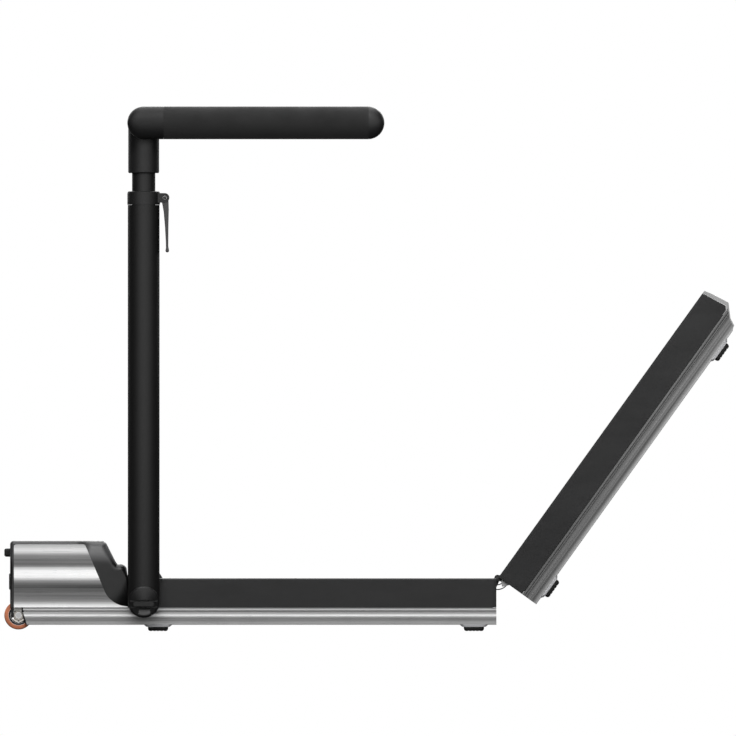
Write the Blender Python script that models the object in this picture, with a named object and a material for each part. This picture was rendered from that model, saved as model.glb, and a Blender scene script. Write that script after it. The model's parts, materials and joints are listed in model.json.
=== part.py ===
"""Folding treadmill with fold-down handrails, modelled piece by piece.

Metres, +Z up. The nose (motor hood) points to -X, the raised rear deck section to +X, the walker's left
is -Y. The origin lies on the floor below the centre of the object's box.
"""
import math

import bmesh
import bpy

# ---------------------------------------------------------------- driving dimensions
GAP = 0.0003                    # air between pieces that touch

# the fold between the two deck sections
HINGE_X = 0.8432                # from the tip of the nose
HINGE_HEIGHT = 0.0912           # above the floor, just over the side covers
FOLD_REST = math.radians(54.3)  # how far the rear section is raised
END_GAP = 0.0018                # each section stops short of the hinge plane

# heights above the floor, with both sections flat
CUP_BOTTOM = 0.0076
RAIL_BOTTOM = 0.0114
RAIL_TOP = 0.0403
CROSS_BOTTOM = 0.0140
CROSS_TOP = 0.0360
TUBE_WALL = 0.0015
TUBE_BOTTOM = 0.0340
TUBE_TOP = 0.0599
BOARD_BOTTOM = 0.0602
BOARD_TOP = 0.0781
BELT_MIDDLE = 0.0793            # middle of the belt's thickness, top run
COVER_BOTTOM = 0.0406
COVER_TOP = 0.0904

# half widths, from the middle plane outwards
BELT_HALF = 0.218
ROLLER_HALF = 0.222
COVER_INNER = 0.223
TUBE_INNER = 0.244
TUBE_OUTER = 0.2623
RAIL_INNER = 0.2626
DECK_HALF = 0.2735

BELT_THICKNESS = 0.0018
ROLLER_RADIUS = 0.020
AXLE_RADIUS = 0.008
EYE_RADIUS = 0.0052
PIN_RADIUS = 0.0026

# lengths along each section, measured away from the hinge plane
FRONT_RAIL = 0.811
FRONT_COVER = 0.630
FRONT_ROLLER = 0.668
FRONT_CROSS = (0.0402, 0.311, 0.5802, 0.725, 0.768)
FRONT_FEET = (0.0402, 0.5802)
REAR_ROLLER = 0.572
REAR_BOARD = 0.545
REAR_CROSS = (0.0395, 0.290, 0.537)
REAR_FEET = (0.0395, 0.537)
FOOT_LENGTH = 0.035
CUP_LENGTH = 0.047

# end cap of the rear section: its outer edge, as length and height over the hinge line
CAP_TOP = (0.6030, -0.0010)
CAP_NOSE = (0.6125, -0.0509)
CAP_TIP = (0.5860, -0.0775)
CAP_WALL = 0.0080

# motor hood
HOOD_FRONT = 0.010
HOOD_END = 0.2124
HOOD_HALF = 0.271
HOOD_INNER = 0.2668
PANEL_FRONT = 0.0165
PANEL_TOP = 0.1486
PANEL_OUTER = 0.2743

# transport wheels
WHEEL_X = 0.0244
WHEEL_HEIGHT = 0.0271
WHEEL_RADIUS = 0.0244
WHEEL_INNER = 0.240
WHEEL_OUTER = 0.262
WHEEL_AXLE_RADIUS = 0.005

# drive
MOTOR_X = 0.100
MOTOR_HEIGHT = 0.083
MOTOR_RADIUS = 0.040
MOTOR_PULLEY_RADIUS = 0.014
ROLLER_PULLEY_RADIUS = 0.028
PULLEY_START = 0.225
PULLEY_END = 0.237
DRIVE_BELT_THICKNESS = 0.003

# handrails, outboard of the deck
POST_X = 0.2384
PIVOT_HEIGHT = 0.0502
POST_WIDTH = 0.054
POST_DEPTH = 0.0356
POST_MIDDLE = 0.3010            # from the middle plane to the post's middle
POST_TOP = 0.7287
COLLAR_TOP = 0.752
NECK_WIDTH = 0.0398
NECK_DEPTH = 0.024
NECK_BOTTOM = 0.500
HEAD_BOTTOM = 0.783
ELBOW_HEIGHT = 0.8689
ARM_RADIUS = 0.028
ARM_REACH = 0.3836              # from the elbow to the middle of the far round end
ARM_INNER = 0.3205
ARM_OUTER = 0.3585
PIVOT_SHAFT_RADIUS = 0.009
ELBOW_PIN_RADIUS = 0.008
LEVER_X = 0.2745
LEVER_HEIGHT = 0.741

# the box's middle lies half way between the nose and the raised end cap's tip
REACH = HINGE_X + CAP_TIP[0] * math.cos(FOLD_REST) - CAP_TIP[1] * math.sin(FOLD_REST)
CENTRE_X = REACH / 2

SIDES = (("left", -1), ("right", 1))

# name: (colour, metallic, roughness)
LOOKS = {
    "black_plastic": ((0.030, 0.030, 0.032), 0.0, 0.45),
    "black_paint": ((0.016, 0.016, 0.017), 0.0, 0.35),
    "silver": ((0.62, 0.62, 0.63), 1.0, 0.30),
    "steel": ((0.45, 0.45, 0.46), 1.0, 0.35),
    "roller_metal": ((0.50, 0.50, 0.51), 1.0, 0.30),
    "frame_paint": ((0.05, 0.05, 0.055), 0.0, 0.5),
    "belt_rubber": ((0.020, 0.020, 0.021), 0.0, 0.85),
    "foot_rubber": ((0.015, 0.015, 0.015), 0.0, 0.8),
    "orange_tyre": ((0.75, 0.20, 0.05), 0.0, 0.55),
    "board": ((0.20, 0.12, 0.07), 0.0, 0.6),
    "light_grey": ((0.50, 0.50, 0.51), 0.0, 0.4),
    "grip_foam": ((0.022, 0.022, 0.023), 0.0, 0.75),
    "lens": ((0.01, 0.01, 0.012), 0.0, 0.08),
    "motor_metal": ((0.25, 0.25, 0.26), 1.0, 0.4),
}


# ---------------------------------------------------------------- small tools
def material_for(object_name, look):
    colour, metallic, roughness = LOOKS[look]
    material = bpy.data.materials.new(object_name + "_" + look)
    material.use_nodes = True
    shader = material.node_tree.nodes["Principled BSDF"]
    shader.inputs["Base Color"].default_value = (*colour, 1.0)
    shader.inputs["Metallic"].default_value = metallic
    shader.inputs["Roughness"].default_value = roughness
    material.diffuse_color = (*colour, 1.0)
    return material


def empty(name, location, parent=None, turn=0.0):
    """An empty at a joint; turn is a rotation about Y."""
    holder = bpy.data.objects.new(name, None)
    bpy.context.collection.objects.link(holder)
    holder.parent = parent
    holder.location = location
    holder.rotation_euler = (0.0, turn, 0.0)
    return holder


def piece(name, bm, look, parent, location=(0, 0, 0), smooth=True):
    """Turn a bmesh into a named object; look None makes an unseen tool."""
    bmesh.ops.recalc_face_normals(bm, faces=bm.faces[:])
    mesh = bpy.data.meshes.new(name)
    bm.to_mesh(mesh)
    bm.free()
    if smooth:
        mesh.shade_smooth()
        mesh.set_sharp_from_angle(angle=math.radians(32))
    result = bpy.data.objects.new(name, mesh)
    bpy.context.collection.objects.link(result)
    result.parent = parent
    result.location = location
    if look is None:
        result.hide_render = True
        result.display_type = "WIRE"
    else:
        mesh.materials.append(material_for(name, look))
    return result


def extrusion(outline, axis, start, end):
    """A closed outline pushed along an axis; the outline's numbers are the other two axes, in order."""
    bm = bmesh.new()
    across = "XYZ".index(axis)
    loops = []
    for position in (start, end):
        loop = []
        for first, second in outline:
            place = [first, second]
            place.insert(across, position)
            loop.append(bm.verts.new(place))
        loops.append(loop)
    count = len(outline)
    for i in range(count):
        j = (i + 1) % count
        bm.faces.new((loops[0][i], loops[0][j], loops[1][j], loops[1][i]))
    bm.faces.new(loops[0][::-1])
    bm.faces.new(loops[1])
    return bm


def block(low, high):
    outline = ((low[0], low[1]), (high[0], low[1]), (high[0], high[1]), (low[0], high[1]))
    return extrusion(outline, "Z", low[2], high[2])


def turned(profile, bore=0.0, centre=(0.0, 0.0), segments=32):
    """A profile of (y, radius) points turned about a line along Y through centre (x, z)."""
    points = list(profile)
    if bore:
        points += [(points[-1][0], bore), (points[0][0], bore)]
    bm = bmesh.new()
    rings = []
    for y, radius in points:
        ring = []
        for i in range(segments):
            angle = 2 * math.pi * i / segments
            x = centre[0] + radius * math.cos(angle)
            z = centre[1] + radius * math.sin(angle)
            ring.append(bm.verts.new((x, y, z)))
        rings.append(ring)
    pairs = list(zip(rings, rings[1:]))
    if bore:
        pairs.append((rings[-1], rings[0]))
    else:
        bm.faces.new(rings[0])
        bm.faces.new(rings[-1])
    for ring, following in pairs:
        for i in range(segments):
            j = (i + 1) % segments
            bm.faces.new((ring[i], ring[j], following[j], following[i]))
    return bm


def arc(centre, radius, start, end, steps):
    """Points on an arc from start to end, in degrees."""
    points = []
    for i in range(steps + 1):
        angle = math.radians(start + (end - start) * i / steps)
        points.append((centre[0] + radius * math.cos(angle), centre[1] + radius * math.sin(angle)))
    return points


def oval(centre, width, depth, segments=28):
    points = []
    for i in range(segments):
        angle = 2 * math.pi * i / segments
        points.append((centre[0] + width / 2 * math.cos(angle), centre[1] + depth / 2 * math.sin(angle)))
    return points


def combine(target, tool, operation):
    modifier = target.modifiers.new(tool.name, "BOOLEAN")
    modifier.operation = operation
    modifier.solver = "EXACT"
    modifier.object = tool


def cut(target, name, bm, parent, location=(0, 0, 0)):
    combine(target, piece(name, bm, None, parent, location), "DIFFERENCE")


def join(target, name, bm, parent, location=(0, 0, 0)):
    combine(target, piece(name, bm, None, parent, location), "UNION")


def round_edges(target, width, segments=2, angle=40):
    modifier = target.modifiers.new("round_edges", "BEVEL")
    modifier.width = width
    modifier.segments = segments
    modifier.limit_method = "ANGLE"
    modifier.angle_limit = math.radians(angle)


def across(sign, inner, outer):
    """Low and high Y of something that lies between two half widths on one side."""
    return min(sign * inner, sign * outer), max(sign * inner, sign * outer)


def over(height):
    """A height above the floor, counted from the hinge line."""
    return height - HINGE_HEIGHT


# ---------------------------------------------------------------- deck sections
class Section:
    """One half of the deck, built along one direction away from the hinge plane."""

    def __init__(self, name, direction, parent):
        self.name = name
        self.direction = direction
        self.parent = parent

    def box(self, near, far, y_low, y_high, low, high):
        x_low, x_high = sorted((self.direction * near, self.direction * far))
        return block((x_low, y_low, over(low)), (x_high, y_high, over(high)))

    def outline(self, points):
        return [(self.direction * along, height) for along, height in points]

    def side_rail(self, side, sign, ends, feet):
        """Silver rail along the deck's lower edge, with the cups that hold the feet."""
        name = "side_rail_%s_%s" % (self.name, side)
        low, high = across(sign, RAIL_INNER, DECK_HALF)
        rail = piece(name, extrusion(self.outline(ends), "Y", low, high), "silver", self.parent)
        round_edges(rail, 0.001)
        cup_low, cup_high = across(sign, 0.237, 0.2722)
        for number, along in enumerate(feet):
            cup = self.box(along - CUP_LENGTH / 2, along + CUP_LENGTH / 2, cup_low, cup_high,
                           CUP_BOTTOM, RAIL_BOTTOM + 0.001)
            join(rail, "%s_cup_%d" % (name, number), cup, self.parent)

    def foot(self, side, sign, number, along):
        """Rubber pad under a cup."""
        low, high = across(sign, 0.239, 0.2695)
        pad = self.box(along - FOOT_LENGTH / 2, along + FOOT_LENGTH / 2, low, high, 0.0, CUP_BOTTOM - GAP)
        name = "foot_%s_%s_%s" % (self.name, ("inner", "outer")[number], side)
        round_edges(piece(name, pad, "foot_rubber", self.parent), 0.002)

    def side_cover(self, side, sign, length, lean):
        """Black foot rail: top plate, outer wall and an inner lip beside the belt."""
        top, bottom, wall = over(COVER_TOP), over(COVER_BOTTOM), 0.005
        under = top - 0.004
        lip = over(0.0825)
        profile = [(DECK_HALF, bottom), (DECK_HALF, top), (COVER_INNER, top), (COVER_INNER, lip),
                   (COVER_INNER + 0.003, lip), (COVER_INNER + 0.003, under),
                   (DECK_HALF - wall, under), (DECK_HALF - wall, bottom)]
        profile = [(sign * y, z) for y, z in profile]
        bm = extrusion(profile, "X", self.direction * END_GAP, self.direction * length)
        for vert in bm.verts:
            if abs(vert.co.x) > length / 2:
                vert.co.x -= self.direction * lean * vert.co.z
        name = "side_cover_%s_%s" % (self.name, side)
        cover = piece(name, bm, "black_plastic", self.parent)
        round_edges(cover, 0.0012)
        low, high = across(sign, 0.2450, 0.2600)
        notch = self.box(-0.002, 0.0105, low, high, 0.080, 0.093)
        cut(cover, name + "_notch", notch, self.parent)

    def frame(self, length, crosses, ear_inner):
        """Welded ladder: two box tubes, cross tubes and a hinge ear at each side."""
        name = "frame_" + self.name
        low, high = across(-1, TUBE_INNER, TUBE_OUTER)
        tube = self.box(0.008, length, low, high, TUBE_BOTTOM, TUBE_TOP)
        frame = piece(name, tube, "frame_paint", self.parent, smooth=False)
        low, high = across(1, TUBE_INNER, TUBE_OUTER)
        second = self.box(0.008, length, low, high, TUBE_BOTTOM, TUBE_TOP)
        parts = [("second_tube", second)]
        for number, along in enumerate(crosses):
            cross = self.box(along - 0.015, along + 0.015, -TUBE_OUTER + 0.0005, TUBE_OUTER - 0.0005,
                             CROSS_BOTTOM, CROSS_TOP)
            parts.append(("cross_%d" % number, cross))
        # from the tube up to a round eye about the hinge line
        ear = [(0.050, over(0.045)), (0.050, over(0.058)), (0.020, over(0.070))]
        ear += arc((0.0, 0.0), EYE_RADIUS, 60, 210, 10)
        ear += [(0.0085, over(0.060)), (0.0105, over(0.045))]
        for side, sign in SIDES:
            low, high = across(sign, ear_inner, ear_inner + 0.004)
            parts.append(("ear_" + side, extrusion(self.outline(ear), "Y", low, high)))
        for part_name, bm in parts:
            join(frame, name + "_" + part_name, bm, self.parent)
        # the long tubes are hollow and open at both ends, the cross tubes are channels open below
        for side, sign in SIDES:
            low, high = across(sign, TUBE_INNER + TUBE_WALL, TUBE_OUTER - TUBE_WALL)
            inside = self.box(0.0, length + 0.010, low, high, TUBE_BOTTOM + TUBE_WALL, TUBE_TOP - TUBE_WALL)
            cut(frame, "%s_tube_inside_%s" % (name, side), inside, self.parent)
        for number, along in enumerate(crosses):
            channel = self.box(along - 0.015 + TUBE_WALL, along + 0.015 - TUBE_WALL, -0.236, 0.236,
                               CROSS_BOTTOM - 0.005, CROSS_TOP - TUBE_WALL)
            cut(frame, "%s_channel_%d" % (name, number), channel, self.parent)
        bore = turned([(-0.3, PIN_RADIUS + GAP), (0.3, PIN_RADIUS + GAP)], segments=24)
        cut(frame, name + "_pin_bore", bore, self.parent)
        return frame

    def board(self, length):
        """Deck board under the belt, thinned underneath where it meets the fold."""
        outline = [(END_GAP, over(BOARD_TOP)), (length, over(BOARD_TOP)), (length, over(BOARD_BOTTOM)),
                   (0.050, over(BOARD_BOTTOM)), (END_GAP, over(0.0735))]
        name = "deck_board_" + self.name
        board = piece(name, extrusion(self.outline(outline), "Y", -0.256, 0.256), "board", self.parent)
        for side, sign in SIDES:
            low, high = across(sign, 0.2465, 0.262)
            notch = self.box(-0.001, 0.056, low, high, 0.050, 0.090)
            cut(board, "%s_notch_%s" % (name, side), notch, self.parent)

    def belt(self, roller):
        """Half of the running belt: top run, round the roller, and back under the board."""
        radius = ROLLER_RADIUS + GAP + BELT_THICKNESS / 2
        centre = (roller, over(BELT_MIDDLE) - radius)
        path = [(0.0012, over(BELT_MIDDLE))]
        path += arc(centre, radius, 90, -90, 12)
        path += [(0.052, over(0.0572)), (0.0012, over(0.0712))]
        outline = strip(path, BELT_THICKNESS)
        bm = extrusion(self.outline(outline), "Y", -BELT_HALF, BELT_HALF)
        piece("running_belt_" + self.name, bm, "belt_rubber", self.parent)

    def roller_height(self):
        return over(BELT_MIDDLE) - ROLLER_RADIUS - GAP - BELT_THICKNESS / 2

    def roller(self, name, along, profile):
        axis = (self.direction * along, 0.0, self.roller_height())
        drum = turned(profile, bore=AXLE_RADIUS + GAP)
        piece(name, drum, "roller_metal", self.parent, location=axis)
        end = TUBE_INNER - GAP
        axle = turned([(-end, AXLE_RADIUS), (end, AXLE_RADIUS)], segments=20)
        piece(name + "_axle", axle, "steel", self.parent, location=axis)


def strip(path, thickness):
    """Outline of a thin strip that follows a path of points."""
    left, right = [], []
    for i, (x, z) in enumerate(path):
        before = path[max(i - 1, 0)]
        after = path[min(i + 1, len(path) - 1)]
        length = math.hypot(after[0] - before[0], after[1] - before[1])
        normal = (-(after[1] - before[1]) / length, (after[0] - before[0]) / length)
        left.append((x + normal[0] * thickness / 2, z + normal[1] * thickness / 2))
        right.append((x - normal[0] * thickness / 2, z - normal[1] * thickness / 2))
    return left + right[::-1]


def front_section(parent):
    section = Section("front", -1, parent)
    ends = [(END_GAP, over(RAIL_BOTTOM)), (END_GAP, over(RAIL_TOP)),
            (FRONT_RAIL, over(RAIL_TOP)), (FRONT_RAIL, over(0.018)), (FRONT_RAIL - 0.006, over(RAIL_BOTTOM))]
    for side, sign in SIDES:
        section.side_rail(side, sign, ends, FRONT_FEET)
        section.side_cover(side, sign, FRONT_COVER, 0.0)
        for number, along in enumerate(FRONT_FEET):
            section.foot(side, sign, number, along)
    frame = section.frame(0.783, FRONT_CROSS, 0.2490)
    for side, sign in SIDES:
        # brackets at the drive roller's axle, and plates that carry the wheel axle
        low, high = across(sign, TUBE_INNER + 0.0005, TUBE_OUTER - 0.0005)
        bracket = section.box(FRONT_ROLLER - 0.014, FRONT_ROLLER + 0.014, low, high, 0.050, 0.074)
        join(frame, "roller_bracket_" + side, bracket, parent)
        low, high = across(sign, 0.233, 0.237)
        plate = section.box(0.750, HINGE_X - 0.017, low, high, 0.016, 0.046)
        join(frame, "wheel_plate_" + side, plate, parent)
    bore = turned([(-0.3, WHEEL_AXLE_RADIUS + GAP), (0.3, WHEEL_AXLE_RADIUS + GAP)],
                  centre=(WHEEL_X - HINGE_X, over(WHEEL_HEIGHT)), segments=24)
    cut(frame, "wheel_axle_bore", bore, parent)
    section.board(FRONT_COVER - 0.002)
    section.belt(FRONT_ROLLER)
    profile = [(-ROLLER_HALF, ROLLER_RADIUS), (ROLLER_HALF, ROLLER_RADIUS), (ROLLER_HALF, 0.014),
               (PULLEY_START, 0.014), (PULLEY_START, ROLLER_PULLEY_RADIUS),
               (PULLEY_END, ROLLER_PULLEY_RADIUS), (PULLEY_END, 0.012)]
    section.roller("drive_roller", FRONT_ROLLER, profile)
    return section


def rear_section(parent):
    section = Section("rear", 1, parent)
    ends = [(END_GAP, over(RAIL_BOTTOM)), (END_GAP, over(RAIL_TOP)),
            (0.6008, over(RAIL_TOP) - GAP), (0.5766, -0.0754), (0.5766, over(RAIL_BOTTOM))]
    for side, sign in SIDES:
        section.side_rail(side, sign, ends, REAR_FEET)
        section.side_cover(side, sign, 0.5942, 0.15)
        for number, along in enumerate(REAR_FEET):
            section.foot(side, sign, number, along)
    section.frame(0.590, REAR_CROSS, 0.2543)
    section.board(REAR_BOARD)
    section.belt(REAR_ROLLER)
    profile = [(-ROLLER_HALF, ROLLER_RADIUS), (ROLLER_HALF, ROLLER_RADIUS)]
    section.roller("idler_roller", REAR_ROLLER, profile)
    inside = [(CAP_TIP[0] - 0.0070, CAP_TIP[1]), (CAP_NOSE[0] - 0.0087, CAP_NOSE[1] + 0.0019),
              (CAP_TOP[0] - CAP_WALL, CAP_TOP[1])]
    outline = [CAP_TOP, CAP_NOSE, CAP_TIP] + inside
    cap = piece("end_cap", extrusion(outline, "Y", -DECK_HALF, DECK_HALF), "light_grey", parent)
    round_edges(cap, 0.0008)


def hinge_pins(parent):
    """One short pin each side through the ears of both frames."""
    for side, sign in SIDES:
        head = EYE_RADIUS - 0.0004
        points = [(0.2455, head), (0.2485, head), (0.2485, PIN_RADIUS), (0.2592, PIN_RADIUS)]
        profile = [(sign * y, radius) for y, radius in points]
        piece("hinge_pin_" + side, turned(profile, segments=24), "steel", parent)


# ---------------------------------------------------------------- nose: hood, wheels and drive
def hood(base):
    outline = [(HOOD_FRONT, COVER_BOTTOM), (HOOD_FRONT, 0.148)]
    outline += arc((0.016, 0.148), 0.006, 180, 90, 5)[1:]
    outline += arc((0.1655, 0.1425), 0.0115, 90, 28, 6)
    outline += [(0.1908, 0.1184)]
    outline += arc((0.1985, 0.1030), 0.0118, 112, 24, 5)
    outline += [(0.2105, 0.0975), (HOOD_END, 0.0920), (HOOD_END, COVER_BOTTOM)]
    shell = piece("motor_hood", extrusion(outline, "Y", -HOOD_HALF, HOOD_HALF), "black_plastic", base)
    round_edges(shell, 0.0012, angle=50)
    hollow = [(0.004, 0.030), (0.004, 0.1476), (0.0135, 0.1502)]
    hollow += arc((0.1645, 0.1405), 0.0097, 90, 28, 4)
    hollow += [(0.1880, 0.1155), (0.1965, 0.1112), (0.2060, 0.0975), (0.2085, 0.0890), (0.222, 0.0890)]
    hollow += [(0.222, 0.030)]
    cut(shell, "hood_hollow", extrusion(hollow, "Y", -HOOD_INNER, HOOD_INNER), base)
    # window for the display lens in the slope that faces the walker
    start, end = (0.1757, 0.1479), (0.1908, 0.1184)
    slope = math.atan2(end[1] - start[1], end[0] - start[0])
    length = math.hypot(end[0] - start[0], end[1] - start[1])
    seat = empty("display_seat", ((start[0] + end[0]) / 2, 0.0, (start[1] + end[1]) / 2), base, -slope)
    window = block((-length * 0.36, -0.075, -0.006), (length * 0.36, 0.075, 0.004))
    cut(shell, "display_window", window, seat)
    lens = block((-length * 0.36 + GAP, -0.075 + GAP, -0.0030), (length * 0.36 - GAP, 0.075 - GAP, 0.0004))
    piece("display_lens", lens, "lens", seat)


def hood_side_panels(base):
    """Silver plates on the hood's sides, ending in a long sweep."""
    outline = [(PANEL_FRONT, COVER_BOTTOM), (PANEL_FRONT, PANEL_TOP), (0.1363, PANEL_TOP)]
    sweep_centre = (0.2110, 0.0855)
    outline += arc(sweep_centre, 0.0430, 204, 270, 10)
    outline += [(0.2110, COVER_BOTTOM)]
    for side, sign in SIDES:
        low, high = across(sign, HOOD_HALF + GAP, PANEL_OUTER)
        panel = piece("hood_panel_" + side, extrusion(outline, "Y", low, high), "silver", base)
        round_edges(panel, 0.0006, angle=50)


def front_panel(base):
    """Nose plate with the power inlet and the switch."""
    low, high = (HOOD_FRONT, -0.2664, COVER_BOTTOM), (0.015, 0.2664, 0.1472)
    panel = piece("front_panel", block(low, high), "black_plastic", base)
    for side, sign in SIDES:
        y_low, y_high = across(sign, 0.2375, 0.270)
        well = block((0.0, y_low, 0.030), (0.020, y_high, 0.0570))
        cut(panel, "wheel_well_" + side, well, base)
    inlet_y, switch_y, height = -0.150, -0.110, 0.085
    cut(panel, "inlet_hole", block((0.0, inlet_y - 0.0145, height - 0.0105),
                                   (0.03, inlet_y + 0.0145, height + 0.0105)), base)
    body = block((0.0085, inlet_y - 0.0140, height - 0.0100), (0.040, inlet_y + 0.0140, height + 0.0100))
    inlet = piece("power_inlet", body, "black_plastic", base)
    socket = block((0.000, inlet_y - 0.0120, height - 0.0080), (0.026, inlet_y + 0.0120, height + 0.0080))
    cut(inlet, "inlet_socket", socket, base)
    cut(panel, "switch_hole", block((0.0, switch_y - 0.0068, height - 0.0120),
                                    (0.03, switch_y + 0.0068, height + 0.0120)), base)
    # rocker: shallow V face in front, round back about its own axis
    rocker = [(-0.0085, 0.0), (-0.0075, 0.0095)] + arc((0.0, 0.0), 0.0100, 90, -90, 10) + [(-0.0075, -0.0095)]
    switch = piece("power_switch", extrusion(rocker, "Y", -0.006, 0.006), "black_plastic", base,
                   location=(0.0175, switch_y, height))
    switch.rotation_euler = (0.0, math.radians(-7), 0.0)


def standing_feet(base):
    """Rubber blocks on the nose, which the folded machine stands on."""
    for side, sign in SIDES:
        low, high = across(sign, 0.190, 0.245)
        foot = piece("standing_foot_" + side, block((0.0, low, 0.127), (0.0097, high, 0.1415)),
                     "foot_rubber", base)
        round_edges(foot, 0.0025, segments=3)


def transport_wheels(base):
    for side, sign in SIDES:
        shoulder = WHEEL_RADIUS - 0.0025
        points = [(WHEEL_INNER, shoulder), (WHEEL_INNER + 0.003, WHEEL_RADIUS),
                  (WHEEL_OUTER - 0.003, WHEEL_RADIUS), (WHEEL_OUTER, shoulder),
                  (WHEEL_OUTER, 0.0160), (WHEEL_OUTER - 0.003, 0.0150), (WHEEL_OUTER - 0.003, 0.0090),
                  (WHEEL_OUTER, 0.0085)]
        profile = [(sign * y, radius) for y, radius in points]
        wheel = turned(profile, bore=WHEEL_AXLE_RADIUS + GAP, segments=36)
        piece("transport_wheel_" + side, wheel, "orange_tyre", base, location=(WHEEL_X, 0.0, WHEEL_HEIGHT))
    end = WHEEL_OUTER + 0.0025
    axle = turned([(-end, WHEEL_AXLE_RADIUS), (end, WHEEL_AXLE_RADIUS)], segments=20)
    piece("wheel_axle", axle, "steel", base, location=(WHEEL_X, 0.0, WHEEL_HEIGHT))


def drive(base):
    """Floor pan, motor, pulley, ribbed drive belt and controller, all under the hood."""
    pan = block((0.060, -0.232, CROSS_TOP + GAP), (0.1470, 0.2200, CROSS_TOP + 0.0028))
    piece("floor_pan", pan, "steel", base, smooth=False)
    pan_top = CROSS_TOP + 0.0028 + GAP
    body = [(-0.140, 0.030), (-0.136, MOTOR_RADIUS), (0.186, MOTOR_RADIUS), (0.190, 0.030),
            (0.190, 0.006), (PULLEY_END, 0.006)]
    axis = (MOTOR_X, 0.0, MOTOR_HEIGHT)
    motor = piece("drive_motor", turned(body, segments=28), "motor_metal", base, location=axis)
    saddle = block((-0.028, -0.070, pan_top - MOTOR_HEIGHT), (0.028, 0.110, -0.020))
    join(motor, "motor_saddle", saddle, base, location=axis)
    pulley = [(PULLEY_START, MOTOR_PULLEY_RADIUS), (PULLEY_END, MOTOR_PULLEY_RADIUS)]
    piece("motor_pulley", turned(pulley, bore=0.0063, segments=24), "steel", base, location=axis)
    roller = (HINGE_X - FRONT_ROLLER, BELT_MIDDLE - ROLLER_RADIUS - GAP - BELT_THICKNESS / 2)
    inner = belt_loop((MOTOR_X, MOTOR_HEIGHT), MOTOR_PULLEY_RADIUS + GAP, roller, ROLLER_PULLEY_RADIUS + GAP)
    outer = belt_loop((MOTOR_X, MOTOR_HEIGHT), MOTOR_PULLEY_RADIUS + GAP + DRIVE_BELT_THICKNESS,
                      roller, ROLLER_PULLEY_RADIUS + GAP + DRIVE_BELT_THICKNESS)
    piece("drive_belt", ring_extrusion(outer, inner, PULLEY_START + 0.001, PULLEY_END - 0.001),
          "belt_rubber", base)
    controller = block((0.066, -0.228, pan_top), (0.140, -0.150, 0.095))
    round_edges(piece("motor_controller", controller, "motor_metal", base), 0.003)


def belt_loop(small, small_radius, large, large_radius):
    """Loop round two circles, in the plane of X and Z, along their outer tangents."""
    distance = math.hypot(large[0] - small[0], large[1] - small[1])
    heading = math.degrees(math.atan2(large[1] - small[1], large[0] - small[0]))
    lean = math.degrees(math.asin((large_radius - small_radius) / distance))
    points = arc(small, small_radius, heading + 90 + lean, heading + 270 - lean, 9)
    points += arc(large, large_radius, heading - 90 - lean, heading + 90 + lean, 13)
    return points


def ring_extrusion(outer, inner, start, end):
    """A closed band between two loops of equal point count, extruded along Y."""
    bm = bmesh.new()
    rings = []
    for loop, y in ((outer, start), (outer, end), (inner, end), (inner, start)):
        rings.append([bm.verts.new((x, y, z)) for x, z in loop])
    count = len(outer)
    for ring, following in zip(rings, rings[1:] + rings[:1]):
        for i in range(count):
            j = (i + 1) % count
            bm.faces.new((ring[i], ring[j], following[j], following[i]))
    return bm


# ---------------------------------------------------------------- handrails
def handrail(side, sign, base):
    """Post on its base pivot, clamp collar, lever, telescoping stem and swinging handle arm."""
    pivot = (POST_X, 0.0, PIVOT_HEIGHT)
    middle = sign * POST_MIDDLE
    low, high = across(sign, POST_MIDDLE - POST_DEPTH / 2, POST_MIDDLE + POST_DEPTH / 2)

    bracket_outline = arc((0.0, 0.0), 0.0255, 180, 360, 14)
    bracket_outline += [(0.0262, 0.0402), (0.0325, 0.0407), (0.0262, 0.0498), (-0.0255, 0.0498)]
    b_low, b_high = across(sign, PANEL_OUTER + GAP, 0.2825)
    bracket = piece("post_bracket_" + side, extrusion(bracket_outline, "Y", b_low, b_high),
                    "black_plastic", base, location=pivot)
    shaft = turned([(sign * 0.2815, PIVOT_SHAFT_RADIUS), (sign * 0.3300, PIVOT_SHAFT_RADIUS)], segments=20)
    join(bracket, "pivot_shaft_" + side, shaft, base, location=pivot)

    post_foot = arc((0.0, 0.0), POST_WIDTH / 2, 180, 360, 14)
    post_foot += [(POST_WIDTH / 2, 0.060), (-POST_WIDTH / 2, 0.060)]
    fold = empty("post_pivot_" + side, pivot, base)
    tube = extrusion(oval((0.0, middle), POST_WIDTH, POST_DEPTH), "Z", 0.020, POST_TOP - PIVOT_HEIGHT)
    post = piece("post_" + side, tube, "black_paint", fold)
    join(post, "post_foot_" + side, extrusion(post_foot, "Y", low, high), fold)
    hollow = extrusion(oval((0.0, middle), NECK_WIDTH + 0.0012, NECK_DEPTH + 0.0012), "Z",
                       0.100, POST_TOP - PIVOT_HEIGHT + 0.05)
    cut(post, "post_hollow_" + side, hollow, fold)
    hole = turned([(sign * 0.27, PIVOT_SHAFT_RADIUS + GAP), (sign * 0.34, PIVOT_SHAFT_RADIUS + GAP)],
                  segments=20)
    cut(post, "post_hole_" + side, hole, fold)

    cap = [(0.3193, 0.0235), (0.3215, 0.0265), (0.3330, 0.0265), (0.3372, 0.0225)]
    knob = turned([(sign * y, radius) for y, radius in cap], segments=36)
    knob = piece("post_knob_" + side, knob, "black_plastic", base, location=pivot)
    seat = turned([(sign * 0.310, PIVOT_SHAFT_RADIUS + GAP), (sign * 0.3304, PIVOT_SHAFT_RADIUS + GAP)],
                  segments=20)
    cut(knob, "knob_seat_" + side, seat, base, location=pivot)
    ridge_low, ridge_high = across(sign, 0.3360, 0.3400)
    ridge = block((-0.0200, ridge_low, -0.0035), (0.0200, ridge_high, 0.0035))
    join(knob, "knob_ridge_" + side, ridge, base, location=pivot)

    collar_and_lever(side, sign, middle, fold)
    stem_and_arm(side, sign, middle, fold, low, high)


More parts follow.
